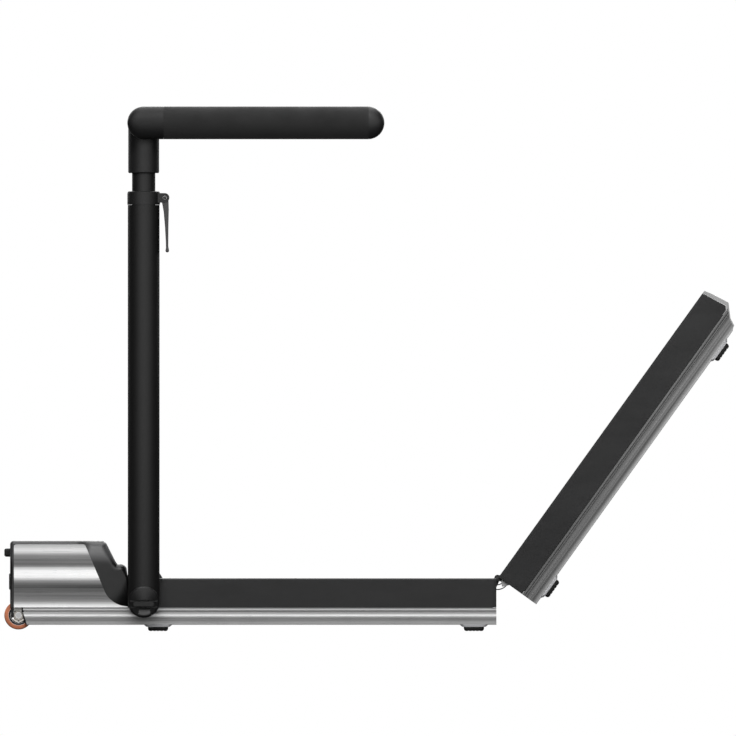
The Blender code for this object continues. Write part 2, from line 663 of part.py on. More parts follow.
def collar_and_lever(side, sign, middle, fold):
    """Clamp collar on the post's top, with two ears that hold a quick-release lever."""
    ring = extrusion(oval((0.0, middle), POST_WIDTH + 0.002, POST_DEPTH), "Z",
                     POST_TOP + GAP - PIVOT_HEIGHT, COLLAR_TOP - PIVOT_HEIGHT)
    collar = piece("clamp_collar_" + side, ring, "black_plastic", fold)
    axis = (LEVER_X - POST_X, middle, LEVER_HEIGHT - PIVOT_HEIGHT)
    for number, (inner, outer) in enumerate(((-0.0090, -0.0053), (0.0053, 0.0090))):
        ear = [(-0.0130, -0.0080), (-0.0010, -0.0080)] + arc((0.0, 0.0), 0.0074, -70, 90, 8)
        ear += [(-0.0130, 0.0074)]
        join(collar, "collar_ear_%s_%d" % (side, number), extrusion(ear, "Y", inner, outer), fold, axis)
    bore = extrusion(oval((0.0, middle), NECK_WIDTH + 0.0010, NECK_DEPTH + 0.0010), "Z", 0.60, 0.75)
    cut(collar, "collar_bore_" + side, bore, fold)
    cut(collar, "collar_pin_hole_" + side, turned([(-0.02, 0.0033), (0.02, 0.0033)], segments=20), fold, axis)

    outline = arc((0.0, 0.0), 0.0068, 0, 170, 9)
    outline += [(-0.0058, -0.0060), (-0.0020, -0.0150), (0.0020, -0.0840)]
    outline += arc((0.0040, -0.0905), 0.0030, 150, 360, 8)
    lever = piece("clamp_lever_" + side, extrusion(outline, "Y", -0.0050, 0.0050), "black_plastic",
                  fold, location=axis)
    join(lever, "lever_pin_" + side, turned([(-0.0094, 0.0030), (0.0094, 0.0030)], segments=20), fold, axis)


def stem_and_arm(side, sign, middle, fold, low, high):
    """Telescoping stem, its head, and the handle arm that swings about the head."""
    stem_axis = (0.0, 0.0, ELBOW_HEIGHT - PIVOT_HEIGHT)
    neck = extrusion(oval((0.0, middle), NECK_WIDTH, NECK_DEPTH), "Z",
                     NECK_BOTTOM - ELBOW_HEIGHT, HEAD_BOTTOM + 0.010 - ELBOW_HEIGHT)
    stem = piece("stem_" + side, neck, "black_paint", fold, location=stem_axis)
    sleeve = extrusion(oval((0.0, middle), POST_WIDTH - 0.0005, POST_DEPTH), "Z",
                       HEAD_BOTTOM - ELBOW_HEIGHT, 0.002)
    join(stem, "stem_sleeve_" + side, sleeve, fold, stem_axis)
    head_radius = POST_WIDTH / 2 - 0.0005
    head = turned([(low + 0.0002, head_radius - 0.002), (low + 0.002, head_radius),
                   (high - 0.002, head_radius), (high - 0.0002, head_radius - 0.002)], segments=28)
    join(stem, "stem_head_" + side, head, fold, stem_axis)
    pin = turned([(sign * 0.3150, ELBOW_PIN_RADIUS), (sign * 0.3450, ELBOW_PIN_RADIUS)], segments=20)
    join(stem, "elbow_pin_" + side, pin, fold, stem_axis)

    outline = arc((0.0, 0.0), ARM_RADIUS, 90, 270, 12) + arc((ARM_REACH, 0.0), ARM_RADIUS, -90, 90, 12)
    arm_low, arm_high = across(sign, ARM_INNER, ARM_OUTER)
    arm = piece("handle_arm_" + side, extrusion(outline, "Y", arm_low, arm_high), "grip_foam",
                fold, location=stem_axis)
    round_edges(arm, 0.013, segments=3, angle=50)
    hole = turned([(sign * 0.31, ELBOW_PIN_RADIUS + GAP), (sign * 0.3454, ELBOW_PIN_RADIUS + GAP)],
                  segments=20)
    cut(arm, "arm_hole_" + side, hole, fold, stem_axis)


def main():
    for thing in list(bpy.data.objects):
        bpy.data.objects.remove(thing, do_unlink=True)
    base = empty("base", (-CENTRE_X, 0.0, 0.0))
    front = empty("front_section", (HINGE_X, 0.0, HINGE_HEIGHT), base)
    rear = empty("rear_section", (HINGE_X, 0.0, HINGE_HEIGHT), base, -FOLD_REST)
    front_section(front)
    rear_section(rear)
    hinge_pins(front)
    hood(base)
    hood_side_panels(base)
    front_panel(base)
    standing_feet(base)
    transport_wheels(base)
    drive(base)
    for side, sign in SIDES:
        handrail(side, sign, base)
    bpy.context.view_layer.update()


main()
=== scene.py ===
"""Folding treadmill: visible surfaces, materials, floor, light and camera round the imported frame.

Metres, +Z up. The nose points to -X and the raised rear deck to +X. "left" is the walker's left, at -Y.
"""
import json
import math

import bmesh
import bpy
from mathutils import Matrix, Vector


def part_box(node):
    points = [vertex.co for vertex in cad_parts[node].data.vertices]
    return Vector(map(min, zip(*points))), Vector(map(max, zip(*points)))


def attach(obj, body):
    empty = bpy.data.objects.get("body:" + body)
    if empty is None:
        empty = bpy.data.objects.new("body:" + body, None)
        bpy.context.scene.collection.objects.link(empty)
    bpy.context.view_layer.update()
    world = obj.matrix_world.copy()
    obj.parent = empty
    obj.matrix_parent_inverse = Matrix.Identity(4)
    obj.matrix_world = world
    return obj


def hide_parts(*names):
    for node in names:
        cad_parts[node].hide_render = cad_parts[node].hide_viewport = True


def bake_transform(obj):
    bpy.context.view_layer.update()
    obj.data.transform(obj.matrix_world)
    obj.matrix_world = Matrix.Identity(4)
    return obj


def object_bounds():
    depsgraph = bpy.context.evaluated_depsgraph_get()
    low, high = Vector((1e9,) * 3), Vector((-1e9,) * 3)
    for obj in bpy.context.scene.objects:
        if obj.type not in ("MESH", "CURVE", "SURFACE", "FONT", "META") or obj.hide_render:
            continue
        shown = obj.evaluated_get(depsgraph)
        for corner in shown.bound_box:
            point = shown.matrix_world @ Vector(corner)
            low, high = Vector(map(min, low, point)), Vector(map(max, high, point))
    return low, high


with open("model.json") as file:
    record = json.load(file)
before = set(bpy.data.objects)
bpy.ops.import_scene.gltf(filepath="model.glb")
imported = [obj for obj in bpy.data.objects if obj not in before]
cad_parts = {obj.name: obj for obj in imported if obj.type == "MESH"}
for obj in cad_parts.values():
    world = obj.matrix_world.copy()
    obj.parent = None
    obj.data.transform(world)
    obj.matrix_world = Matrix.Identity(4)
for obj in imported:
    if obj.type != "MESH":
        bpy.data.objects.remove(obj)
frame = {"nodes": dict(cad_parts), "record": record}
CAD_LOW, CAD_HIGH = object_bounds()

# ---------------------------------------------------------------- places, all read from the frame
JOINTS = {joint["name"]: joint for joint in frame["record"]["behaviour"]["joints"]}


def joint_at(name):
    """A point on a joint's axis."""
    return Vector(JOINTS[name]["pos_m"])


HINGE = joint_at("deck_fold")
FOLD = math.radians(-JOINTS["deck_fold"]["range_deg"][0])
NOSE = CAD_LOW.x
SIDES = (("left", -1), ("right", 1))
FRONT_PLACE = Matrix.Translation(HINGE)
REAR_PLACE = Matrix.Translation(HINGE) @ Matrix.Rotation(-FOLD, 4, "Y")
HOOD_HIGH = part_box("motor_hood")[1]
PANEL_LOW, PANEL_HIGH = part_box("hood_panel_right")
RAIL_LOW, RAIL_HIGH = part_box("side_rail_front_right")
COVER_LOW, COVER_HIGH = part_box("side_cover_front_right")
BELT_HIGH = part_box("running_belt_front")[1]
POST_LOW, POST_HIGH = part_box("post_right")
STEM_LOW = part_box("stem_right")[0]
ARM_LOW, ARM_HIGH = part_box("handle_arm_right")
END_GAP = HINGE.x - COVER_HIGH.x
FRONT_COVER = HINGE.x - COVER_LOW.x
FRONT_RAIL = HINGE.x - RAIL_LOW.x
DECK_HALF = COVER_HIGH.y


def over(height):
    """A height above the floor, counted from the hinge line."""
    return height - HINGE.z


def from_nose(distance):
    """A distance from the nose's tip, as X counted from the hinge line."""
    return NOSE + distance - HINGE.x


def across(sign, inner, outer):
    """Low and high Y of something that lies between two half widths on one side."""
    return min(sign * inner, sign * outer), max(sign * inner, sign * outer)


def on_middle(point):
    """A place at a point's X and Z, on the middle plane."""
    return Matrix.Translation((point.x, 0, point.z))


# ---------------------------------------------------------------- mesh tools
def extrusion(outline, axis, start, end):
    """A closed outline pushed along an axis; the outline's numbers are the other two axes, in order."""
    place = "XYZ".index(axis)
    bm = bmesh.new()
    loops = []
    for position in (start, end):
        loop = []
        for first, second in outline:
            point = [first, second]
            point.insert(place, position)
            loop.append(bm.verts.new(point))
        loops.append(loop)
    bridge(bm, loops[0], loops[1])
    bm.faces.new(loops[0][::-1])
    bm.faces.new(loops[1])
    return bm


def slab(outline, sign, inner, outer):
    """An (x, z) outline pushed along Y between two half widths on one side."""
    return extrusion(outline, "Y", *across(sign, inner, outer))


def bridge(bm, ring, following):
    for i in range(len(ring)):
        j = (i + 1) % len(ring)
        bm.faces.new((ring[i], ring[j], following[j], following[i]))


def loft(rings):
    """Closed rings of points joined in order, with flat ends."""
    bm = bmesh.new()
    loops = [[bm.verts.new(point) for point in ring] for ring in rings]
    for ring, following in zip(loops, loops[1:]):
        bridge(bm, ring, following)
    bm.faces.new(loops[0][::-1])
    bm.faces.new(loops[-1])
    return bm


def block(low, high):
    outline = ((low[0], low[1]), (high[0], low[1]), (high[0], high[1]), (low[0], high[1]))
    return extrusion(outline, "Z", low[2], high[2])


def turned(profile, bore=0.0, centre=(0.0, 0.0), segments=64):
    """A profile of (y, radius) points turned about a line along Y through centre (x, z)."""
    points = list(profile)
    if bore:
        points += [(points[-1][0], bore), (points[0][0], bore)]
    bm = bmesh.new()
    rings = []
    for y, radius in points:
        rings.append([bm.verts.new((centre[0] + radius * c, y, centre[1] + radius * s))
                      for c, s in circle(segments)])
    for ring, following in zip(rings, rings[1:]):
        bridge(bm, ring, following)
    if bore:
        bridge(bm, rings[-1], rings[0])
    else:
        bm.faces.new(rings[0][::-1])
        bm.faces.new(rings[-1])
    return bm


def rod(start, end, radius, centre=(0.0, 0.0), segments=40):
    """A round bar along Y."""
    return turned([(start, radius), (end, radius)], centre=centre, segments=segments)


def sliced(bm, axis, positions):
    """Add edges where planes square to an axis cross the mesh, so that its sides can be bent."""
    normal = Vector([float(letter == axis) for letter in "XYZ"])
    for position in positions:
        bmesh.ops.bisect_plane(bm, geom=bm.verts[:] + bm.edges[:] + bm.faces[:],
                               plane_co=normal * position, plane_no=normal, dist=1e-6)


def mesh_from(name, bm):
    mesh = bpy.data.meshes.new(name)
    bm.to_mesh(mesh)
    bm.free()
    return mesh


def linked(name, data):
    """A new object for some data, put in the scene."""
    thing = bpy.data.objects.new(name, data)
    bpy.context.collection.objects.link(thing)
    return thing


def merged(*parts):
    """Several separate bodies in one mesh."""
    whole = bmesh.new()
    for part in parts:
        mesh = mesh_from("part", part)
        whole.from_mesh(mesh)
        bpy.data.meshes.remove(mesh)
    return whole


def arc(centre, radius, start, end, steps):
    """Points on an arc from start to end, in degrees."""
    points = []
    for i in range(steps + 1):
        angle = math.radians(start + (end - start) * i / steps)
        points.append((centre[0] + radius * math.cos(angle), centre[1] + radius * math.sin(angle)))
    return points


def circle(steps):
    """Cosine and sine of equal steps round a circle."""
    return [(math.cos(2 * math.pi * i / steps), math.sin(2 * math.pi * i / steps)) for i in range(steps)]


def oval(centre, width, depth, segments=72):
    return [(centre[0] + width / 2 * c, centre[1] + depth / 2 * s) for c, s in circle(segments)]


def rounded(corners, steps=5):
    """An outline of (first, second, radius) corners, each rounded by its own radius."""
    points = []
    count = len(corners)
    for i, (x, z, radius) in enumerate(corners):
        corner = Vector((x, z))
        if radius <= 0:
            points.append((x, z))
            continue
        before = (Vector(corners[i - 1][:2]) - corner).normalized()
        after = (Vector(corners[(i + 1) % count][:2]) - corner).normalized()
        half = before.angle(after) / 2
        reach = radius / math.tan(half)
        centre = corner + (before + after).normalized() * (radius / math.sin(half))
        first = corner + before * reach - centre
        last = corner + after * reach - centre
        for step in range(steps + 1):
            spoke = first.lerp(last, step / steps).normalized() * radius
            points.append(tuple(centre + spoke))
    return points


def rectangle(low, high, radius, steps=4):
    """A rounded rectangle between its low and high corners."""
    corners = ((low[0], low[1]), (high[0], low[1]), (high[0], high[1]), (low[0], high[1]))
    return rounded([(*corner, radius) for corner in corners], steps)


def mirrored(points, sign):
    return [(sign * first, second) for first, second in points]


def apply_modifiers(thing):
    graph = bpy.context.evaluated_depsgraph_get()
    mesh = bpy.data.meshes.new_from_object(thing.evaluated_get(graph))
    thing.modifiers.clear()
    thing.data = mesh
    mesh.name = thing.name


def add(name, bm, material, body, slot, nodes=(), place=FRONT_PLACE, bevel=0.0, segments=2, angle=35,
        cuts=(), joins=()):
    """Make one finished piece: cut and rounded mesh, smooth normals, material, body, replaced nodes. The slot
    argument is not used.
    """
    bmesh.ops.recalc_face_normals(bm, faces=bm.faces[:])
    thing = linked(name, mesh_from(name, bm))
    tools = []
    for operation, group in (("UNION", joins), ("DIFFERENCE", cuts)):
        for tool_bm in group:
            bmesh.ops.recalc_face_normals(tool_bm, faces=tool_bm.faces[:])
            tool = linked("tool", mesh_from("tool", tool_bm))
            tools.append(tool)
            modifier = thing.modifiers.new("shape", "BOOLEAN")
            modifier.operation = operation
            modifier.solver = "EXACT"
            modifier.object = tool
    if bevel:
        modifier = thing.modifiers.new("round", "BEVEL")
        modifier.width = bevel
        modifier.segments = segments
        modifier.limit_method = "ANGLE"
        modifier.angle_limit = math.radians(angle)
        modifier.use_clamp_overlap = True
    if thing.modifiers:
        apply_modifiers(thing)
    for tool in tools:
        bpy.data.objects.remove(tool, do_unlink=True)
    thing.data.shade_smooth()
    thing.data.set_sharp_from_angle(angle=math.radians(32))
    weighted = thing.modifiers.new("even", "WEIGHTED_NORMAL")
    weighted.keep_sharp = True
    apply_modifiers(thing)
    thing.data.materials.clear()
    thing.data.materials.append(material)
    thing.data.transform(place.to_3x3().to_4x4())
    thing.matrix_world = Matrix.Translation(place.translation)
    bpy.context.view_layer.update()
    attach(thing, body)
    if nodes:
        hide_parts(*nodes)
    return thing


# ---------------------------------------------------------------- materials
class Nodes:
    """A node tree that nodes are added to."""

    def __init__(self, tree):
        self.tree = tree

    def add(self, kind, values=None, **settings):
        node = self.tree.nodes.new("ShaderNode" + kind)
        for key, value in settings.items():
            setattr(node, key, value)
        self.fill(node, values or {})
        return node

    def fill(self, node, values):
        """Set a node's inputs, by a link where the value is another node's output."""
        for key, value in values.items():
            if isinstance(value, bpy.types.NodeSocket):
                self.tree.links.new(value, node.inputs[key])
            else:
                node.inputs[key].default_value = value

    def math(self, operation, first, second=0.0):
        return self.add("Math", {0: first, 1: second}, operation=operation).outputs[0]

    def spread(self, value, low, high, start=0.3, end=0.7, **settings):
        """Values from start to end, drawn out to run from low to high."""
        values = {"Value": value, "From Min": start, "From Max": end, "To Min": low, "To Max": high}
        return self.add("MapRange", values, **settings).outputs[0]


class Surface(Nodes):
    """A Principled material, built up node by node in object coordinates."""

    def __init__(self, name, metallic=0.0, specular=0.5, coat=0.0, coat_roughness=0.2, sheen=0.0):
        self.material = bpy.data.materials.new(name)
        self.material.use_nodes = True
        super().__init__(self.material.node_tree)
        self.shader = self.tree.nodes["Principled BSDF"]
        self.fill(self.shader, {"Metallic": metallic, "Specular IOR Level": specular, "Coat Weight": coat,
                                "Coat Roughness": coat_roughness, "Sheen Weight": sheen})
        coordinates = self.add("TexCoord").outputs
        self.where = coordinates["Object"]
        self.uv = coordinates["UV"]

    def axis(self, name):
        return self.add("SeparateXYZ", {0: self.where}).outputs[name]

    def noise(self, per_metre, detail=3.0, stretch=(1, 1, 1)):
        """Noise with so many features to the metre, drawn out where stretch is small."""
        vector = self.add("Mapping", {"Vector": self.where, "Scale": stretch}).outputs[0]
        values = {"Vector": vector, "Scale": per_metre, "Detail": detail}
        return self.add("TexNoise", values).outputs["Fac"]

    def cells(self, per_metre):
        return self.add("TexVoronoi", {"Vector": self.where, "Scale": per_metre}).outputs["Distance"]

    def mix(self, factor, first, second, blend="MIX"):
        node = self.add("Mix", {0: factor, 6: first, 7: second}, data_type="RGBA", blend_type=blend)
        return node.outputs[2]

    def ramp(self, value, stops):
        """Greys by position, from the first stop to the last; stops are (position, sRGB grey)."""
        low, high = stops[0][0], stops[-1][0]
        share = self.add("MapRange", {"Value": value, "From Min": low, "From Max": high}).outputs[0]
        node = self.add("ValToRGB", {0: share})
        node.color_ramp.interpolation = "EASE"
        elements = node.color_ramp.elements
        for number, (position, grey) in enumerate(stops):
            share = (position - low) / (high - low)
            element = elements[number] if number < 2 else elements.new(share)
            element.position = share
            element.color = (*[linear(grey)] * 3, 1.0)
        return node.outputs[0]

    def vary(self, value, grey, low, high, tint=(1.0, 1.0, 1.0)):
        """A grey that wanders between two shares of itself."""
        return self.mix(self.spread(value, 0.0, 1.0), shade(grey * low, tint), shade(grey * high, tint))

    def bumps(self, *layers):
        """Bump layers of (height socket, distance in metres), one on top of the other."""
        normal = None
        for height, distance in layers:
            values = {"Height": height, "Distance": distance, "Strength": 1.0}
            if normal is not None:
                values["Normal"] = normal
            normal = self.add("Bump", values).outputs[0]
        self.tree.links.new(normal, self.shader.inputs["Normal"])

    def finish(self, colour, roughness):
        self.fill(self.shader, {"Base Color": colour, "Roughness": roughness})
        return self.material


def linear(grey):
    return ((grey + 0.055) / 1.055) ** 2.4 if grey > 0.04045 else grey / 12.92


def shade(grey, tint=(1.0, 1.0, 1.0)):
    return (*[linear(grey) * part for part in tint], 1.0)


def moulded(name, grey, roughness=0.42, grain=2600.0, specular=0.3, tint=(1.0, 1.0, 1.03), stops=()):
    """Injection-moulded plastic: fine spark-eroded grain, faint flow marks and rubbed patches."""
    look = Surface(name, specular=specular)
    patches = look.noise(9.0, 4.0)
    fine = look.noise(grain, 2.0)
    colour = look.vary(patches, grey, 0.93, 1.07, tint)
    colour = look.mix(look.spread(fine, 0.0, 0.5), colour, shade(grey * 1.12, tint))
    # optional painted highlight: the grey is scaled by a table of shares by height
    if stops:
        levels = [(over(z), part) for z, part in stops]
        fade = look.ramp(look.axis("Z"), levels)
        colour = look.mix(1.0, colour, fade, blend="MULTIPLY")
    scuffs = look.noise(60.0, 5.0, (0.25, 1, 1))
    rough = look.math("ADD", look.spread(patches, roughness - 0.05, roughness + 0.05),
                      look.spread(scuffs, -0.05, 0.05))
    look.bumps((fine, 0.00006), (look.noise(300.0, 3.0), 0.00003))
    return look.finish(colour, rough)


def powder_coat(name, grey, roughness):
    """Powder coat with a slight orange peel."""
    look = Surface(name, specular=0.3)
    peel = look.noise(900.0, 2.0)
    dust = look.noise(24.0, 5.0)
    colour = look.vary(dust, grey, 0.92, 1.08)
    look.bumps((peel, 0.00006), (look.noise(3200.0, 1.0), 0.00002))
    return look.finish(colour, look.spread(peel, roughness - 0.08, roughness + 0.08))


def satin_metal(name, stops, turn=0.0):
    """Drawn and satin-anodised aluminium: fine lines along X, and painted reflections: a grey that changes
    with height stands in for the bright and dark bands the metal reflects.
    """
    look = Surface(name, metallic=0.45)
    level = look.add("VectorRotate", {"Vector": look.where, "Angle": turn}, rotation_type="Y_AXIS")
    look.where = level.outputs[0]
    lines = look.noise(1.0, 2.0, (5.0, 2600.0, 2600.0))
    broad = look.noise(1.0, 3.0, (2.0, 260.0, 260.0))
    smudge = look.noise(16.0, 4.0)
    # painted reflections: the base grey follows a table of greys by height
    levels = [(over(z), grey) for z, grey in stops]
    colour = look.ramp(look.axis("Z"), levels)
    colour = look.mix(look.spread(lines, 0.0, 0.16), colour, shade(0.25))
    colour = look.mix(look.spread(broad, 0.0, 0.10), colour, shade(0.97))
    rough = look.math("ADD", look.spread(lines, 0.25, 0.37), look.spread(smudge, -0.03, 0.05))
    look.bumps((lines, 0.000006), (broad, 0.00001))
    return look.finish(colour, rough)


def bare_metal(name, grey, roughness=0.32, turned_marks=True, tint=(1.0, 1.0, 1.0)):
    """Turned or sheet steel: rings round Y where turned, a fine mottle where not."""
    look = Surface(name, metallic=1.0)
    stretch = (60.0, 3200.0, 60.0) if turned_marks else (700.0, 700.0, 700.0)
    marks = look.noise(1.0, 3.0, stretch)
    stain = look.noise(30.0, 4.0)
    colour = look.vary(marks, grey, 0.86, 1.08, tint)
    colour = look.mix(look.spread(stain, 0.0, 0.35), colour, shade(grey * 0.7, tint))
    rough = look.math("ADD", look.spread(marks, roughness - 0.08, roughness + 0.08),
                      look.spread(stain, -0.04, 0.06))
    look.bumps((marks, 0.00003))
    return look.finish(colour, rough)


def rubber(name, grey, tint=(1.0, 1.0, 1.0), roughness=0.7, grain=1500.0):
    look = Surface(name, specular=0.3)
    fine = look.noise(grain, 3.0)
    dust = look.noise(40.0, 5.0)
    colour = look.vary(dust, grey, 0.9, 1.1, tint)
    colour = look.mix(look.spread(fine, 0.0, 0.3), colour, shade(grey * 1.2, tint))
    look.bumps((fine, 0.00010), (dust, 0.00005))
    return look.finish(colour, look.spread(fine, roughness - 0.08, roughness + 0.08))


def foam(name, grey):
    """Closed-cell foam sleeve: a skin of fine cells with a soft sheen."""
    look = Surface(name, specular=0.25, sheen=0.12)
    look.shader.inputs["Sheen Roughness"].default_value = 0.5
    cells = look.cells(1500.0)
    broad = look.noise(30.0, 4.0)
    colour = look.mix(look.spread(cells, 0.0, 0.6, 0.0, 0.6), shade(grey), shade(grey * 0.75))
    colour = look.mix(look.spread(broad, 0.0, 0.5), colour, shade(grey * 1.12))
    look.bumps((cells, 0.00012), (look.noise(500.0, 3.0), 0.00008))
    return look.finish(colour, look.spread(broad, 0.62, 0.78))


def belt_fabric(name, grey):
    """PVC running surface: a raised diamond every 3 mm along and across the belt, worn in the middle."""
    look = Surface(name, specular=0.25)
    split = look.add("SeparateXYZ", {0: look.uv})
    pitch = 2 * math.pi / 0.0030
    along = look.math("MULTIPLY", split.outputs["X"], pitch)
    sideways = look.math("MULTIPLY", split.outputs["Y"], pitch)
    first = look.math("SINE", look.math("ADD", along, sideways))
    second = look.math("SINE", look.math("SUBTRACT", along, sideways))
    diamond = look.math("MULTIPLY", first, second)
    centre = look.math("ABSOLUTE", look.math("SUBTRACT", split.outputs["Y"], BELT_HIGH.y))
    lane = look.spread(centre, 1.0, 0.0, 0.10, 0.19)
    dust = look.noise(26.0, 5.0, (0.35, 1, 1))
    colour = look.mix(look.spread(diamond, 0.0, 0.5, 0.0, 1.0), shade(grey), shade(grey * 1.28))
    worn = look.math("MULTIPLY", lane, look.spread(dust, 0.05, 0.45))
    colour = look.mix(worn, colour, shade(grey * 1.55, (1.0, 0.98, 0.95)))
    look.bumps((diamond, 0.00012), (look.noise(2500.0, 2.0), 0.00004))
    return look.finish(colour, look.spread(dust, 0.55, 0.7))


def fibreboard(name):
    look = Surface(name, specular=0.3, coat=0.15, coat_roughness=0.35)
    fibres = look.noise(1.0, 5.0, (220.0, 900.0, 900.0))
    blotch = look.noise(14.0, 4.0)
    colour = look.mix(look.spread(fibres, 0.0, 1.0), (0.10, 0.058, 0.034, 1), (0.27, 0.17, 0.10, 1))
    colour = look.mix(look.spread(blotch, 0.0, 0.4), colour, (0.15, 0.09, 0.055, 1))
    look.bumps((fibres, 0.00008))
    return look.finish(colour, look.spread(fibres, 0.45, 0.65))


def gloss(name, grey):
    look = Surface(name, specular=0.5, coat=0.4, coat_roughness=0.04)
    smudge = look.noise(45.0, 4.0)
    colour = look.mix(look.spread(smudge, 0.0, 1.0), shade(grey), shade(grey * 1.3, (0.95, 1.0, 1.1)))
    look.bumps((look.noise(20.0, 2.0), 0.00001))
    return look.finish(colour, look.spread(smudge, 0.06, 0.14))


def lit(name, colour, power):
    look = Surface(name)
    flicker = look.noise(800.0, 2.0)
    look.fill(look.shader, {"Emission Color": colour, "Emission Strength": power})
    look.bumps((flicker, 0.00001))
    return look.finish(look.mix(look.spread(flicker, 0.0, 1.0), shade(0.5), shade(0.6)), 0.4)


# painted reflections of the anodised panels and rails: greys by height that stand in for the bands of light
# and shade they reflect: (metres above the floor, sRGB grey)
PANEL_PAINTED_REFLECTIONS = ((0.0406, 0.92), (0.0432, 0.90), (0.0450, 0.82), (0.0482, 0.62), (0.0515, 0.43), (0.0550, 0.34),
               (0.0592, 0.36), (0.0640, 0.37), (0.0690, 0.20), (0.0735, 0.10), (0.0800, 0.14), (0.0860, 0.46),
               (0.0890, 0.68), (0.0925, 0.92), (0.0975, 1.0), (0.1025, 1.0), (0.1075, 0.82), (0.1110, 0.46),
               (0.1140, 0.30), (0.1215, 0.28), (0.1290, 0.44), (0.1310, 0.55), (0.1355, 0.82), (0.1379, 0.89),
               (0.1407, 0.86), (0.1447, 0.73), (0.1486, 0.61))
RAIL_PAINTED_REFLECTIONS = ((0.0107, 0.66), (0.0149, 0.62), (0.0183, 0.51), (0.0217, 0.57), (0.0234, 0.72), (0.0251, 0.90),
              (0.0268, 0.95), (0.0285, 0.72), (0.0303, 0.50), (0.0320, 0.33), (0.0337, 0.35), (0.0354, 0.68),
              (0.0371, 0.72), (0.0388, 0.45), (0.0403, 0.34))
REAR_RAIL_PAINTED_REFLECTIONS = ((0.0109, 0.64), (0.0128, 0.58), (0.0145, 0.49), (0.0162, 0.36), (0.0196, 0.26),
                   (0.0230, 0.45), (0.0247, 0.43), (0.0282, 0.14), (0.0316, 0.12), (0.0333, 0.24),
                   (0.0367, 0.23), (0.0385, 0.20), (0.0403, 0.12))

# painted highlight on the hood: its grey by height, lightest on its shoulder and darker on top and down its
# sides: (metres above the floor, share of its grey)
HOOD_PAINTED_HIGHLIGHT = ((0.0400, 0.24), (0.1120, 0.26), (0.1300, 1.0), (0.1470, 1.0), (0.1545, 0.40))

BLACK = moulded("black_plastic", 0.075)
COVER_BLACK = moulded("cover_plastic", 0.105, roughness=0.5)
# the rear covers' plastic is a darker copy of the front covers': painted shade on the raised deck
REAR_COVER_PAINTED_SHADE_BLACK = moulded("rear_cover_plastic", 0.085, roughness=0.5)
# the arm's hub is a darker copy of the tip's plastic: painted shade on its rounded end
ARM_HUB_PAINTED_SHADE_BLACK = moulded("arm_plastic", 0.055, roughness=0.5, specular=0.25)
DEEP_BLACK = moulded("deep_black_plastic", 0.06, roughness=0.5)
SATIN_BLACK = moulded("satin_black_plastic", 0.08, roughness=0.26, grain=4000.0, specular=0.5)
POST_BLACK = powder_coat("post_powder_coat", 0.055, roughness=0.42)
KNOB_BLACK = moulded("knob_plastic", 0.05, roughness=0.40, grain=4000.0, specular=0.30)
HOOD_BLACK = moulded("hood_plastic", 0.210, roughness=0.30, specular=0.38, stops=HOOD_PAINTED_HIGHLIGHT)
FRAME_BLACK = powder_coat("frame_powder_coat", 0.16, roughness=0.55)
# the three silvers below carry painted reflections in their tables of greys by height
PANEL_SILVER = satin_metal("panel_silver", PANEL_PAINTED_REFLECTIONS)
RAIL_SILVER = satin_metal("rail_silver", RAIL_PAINTED_REFLECTIONS)
REAR_SILVER = satin_metal("rear_rail_silver", REAR_RAIL_PAINTED_REFLECTIONS, turn=FOLD)
CUP_SILVER = moulded("cup_silver", 0.78, roughness=0.3, specular=0.5)
HUB_SILVER = bare_metal("hub_silver", 0.62, tint=(1.0, 0.94, 0.86))
STEEL = bare_metal("turned_steel", 0.70)
ZINC = bare_metal("zinc_plate", 0.66, 0.42, turned_marks=False, tint=(1.0, 0.99, 0.95))
PIN_STEEL = bare_metal("pin_steel", 0.24, 0.42)
ROLLER_METAL = bare_metal("roller_aluminium", 0.76, 0.28)
CAST = bare_metal("cast_aluminium", 0.56, 0.5, turned_marks=False)
CAP_GREY = moulded("cap_grey", 0.58, roughness=0.45, specular=0.4, tint=(1.0, 1.0, 1.0))
FOOT_RUBBER = rubber("foot_rubber", 0.09)
TYRE = rubber("tyre_orange", 0.70, tint=(1.0, 0.34, 0.17), roughness=0.6, grain=900.0)
DRIVE_RUBBER = rubber("drive_belt_rubber", 0.12, grain=600.0)
BELT = belt_fabric("belt_pvc", 0.14)
BOARD = fibreboard("waxed_fibreboard")
FOAM = foam("grip_foam", 0.095)
LENS = gloss("display_lens", 0.03)
DIGITS = lit("display_digits", (0.75, 0.88, 1.0, 1.0), 0.35)


def dress(material, *nodes):
    """Give CAD nodes that stay visible a finished material."""
    for node in nodes:
        thing = frame["nodes"][node]
        thing.data.materials.clear()
        thing.data.materials.append(material)
        for polygon in thing.data.polygons:
            polygon.material_index = 0


# ---------------------------------------------------------------- deck sections
# length of the trim at each cover's hinge end
TRIM = 0.0048
# a foot's metal cup and rubber pad: (height above the floor, half length, shrink of the width)
CUP_RINGS = ((0.0117, 0.0240, 0.0), (0.0108, 0.0240, 0.0), (0.0074, 0.0198, 0.0016))
PAD_RINGS = ((0.0073, 0.0175, 0.0), (0.0035, 0.0172, 0.0004), (0.0014, 0.0160, 0.0014),
             (0.0002, 0.0142, 0.0030))


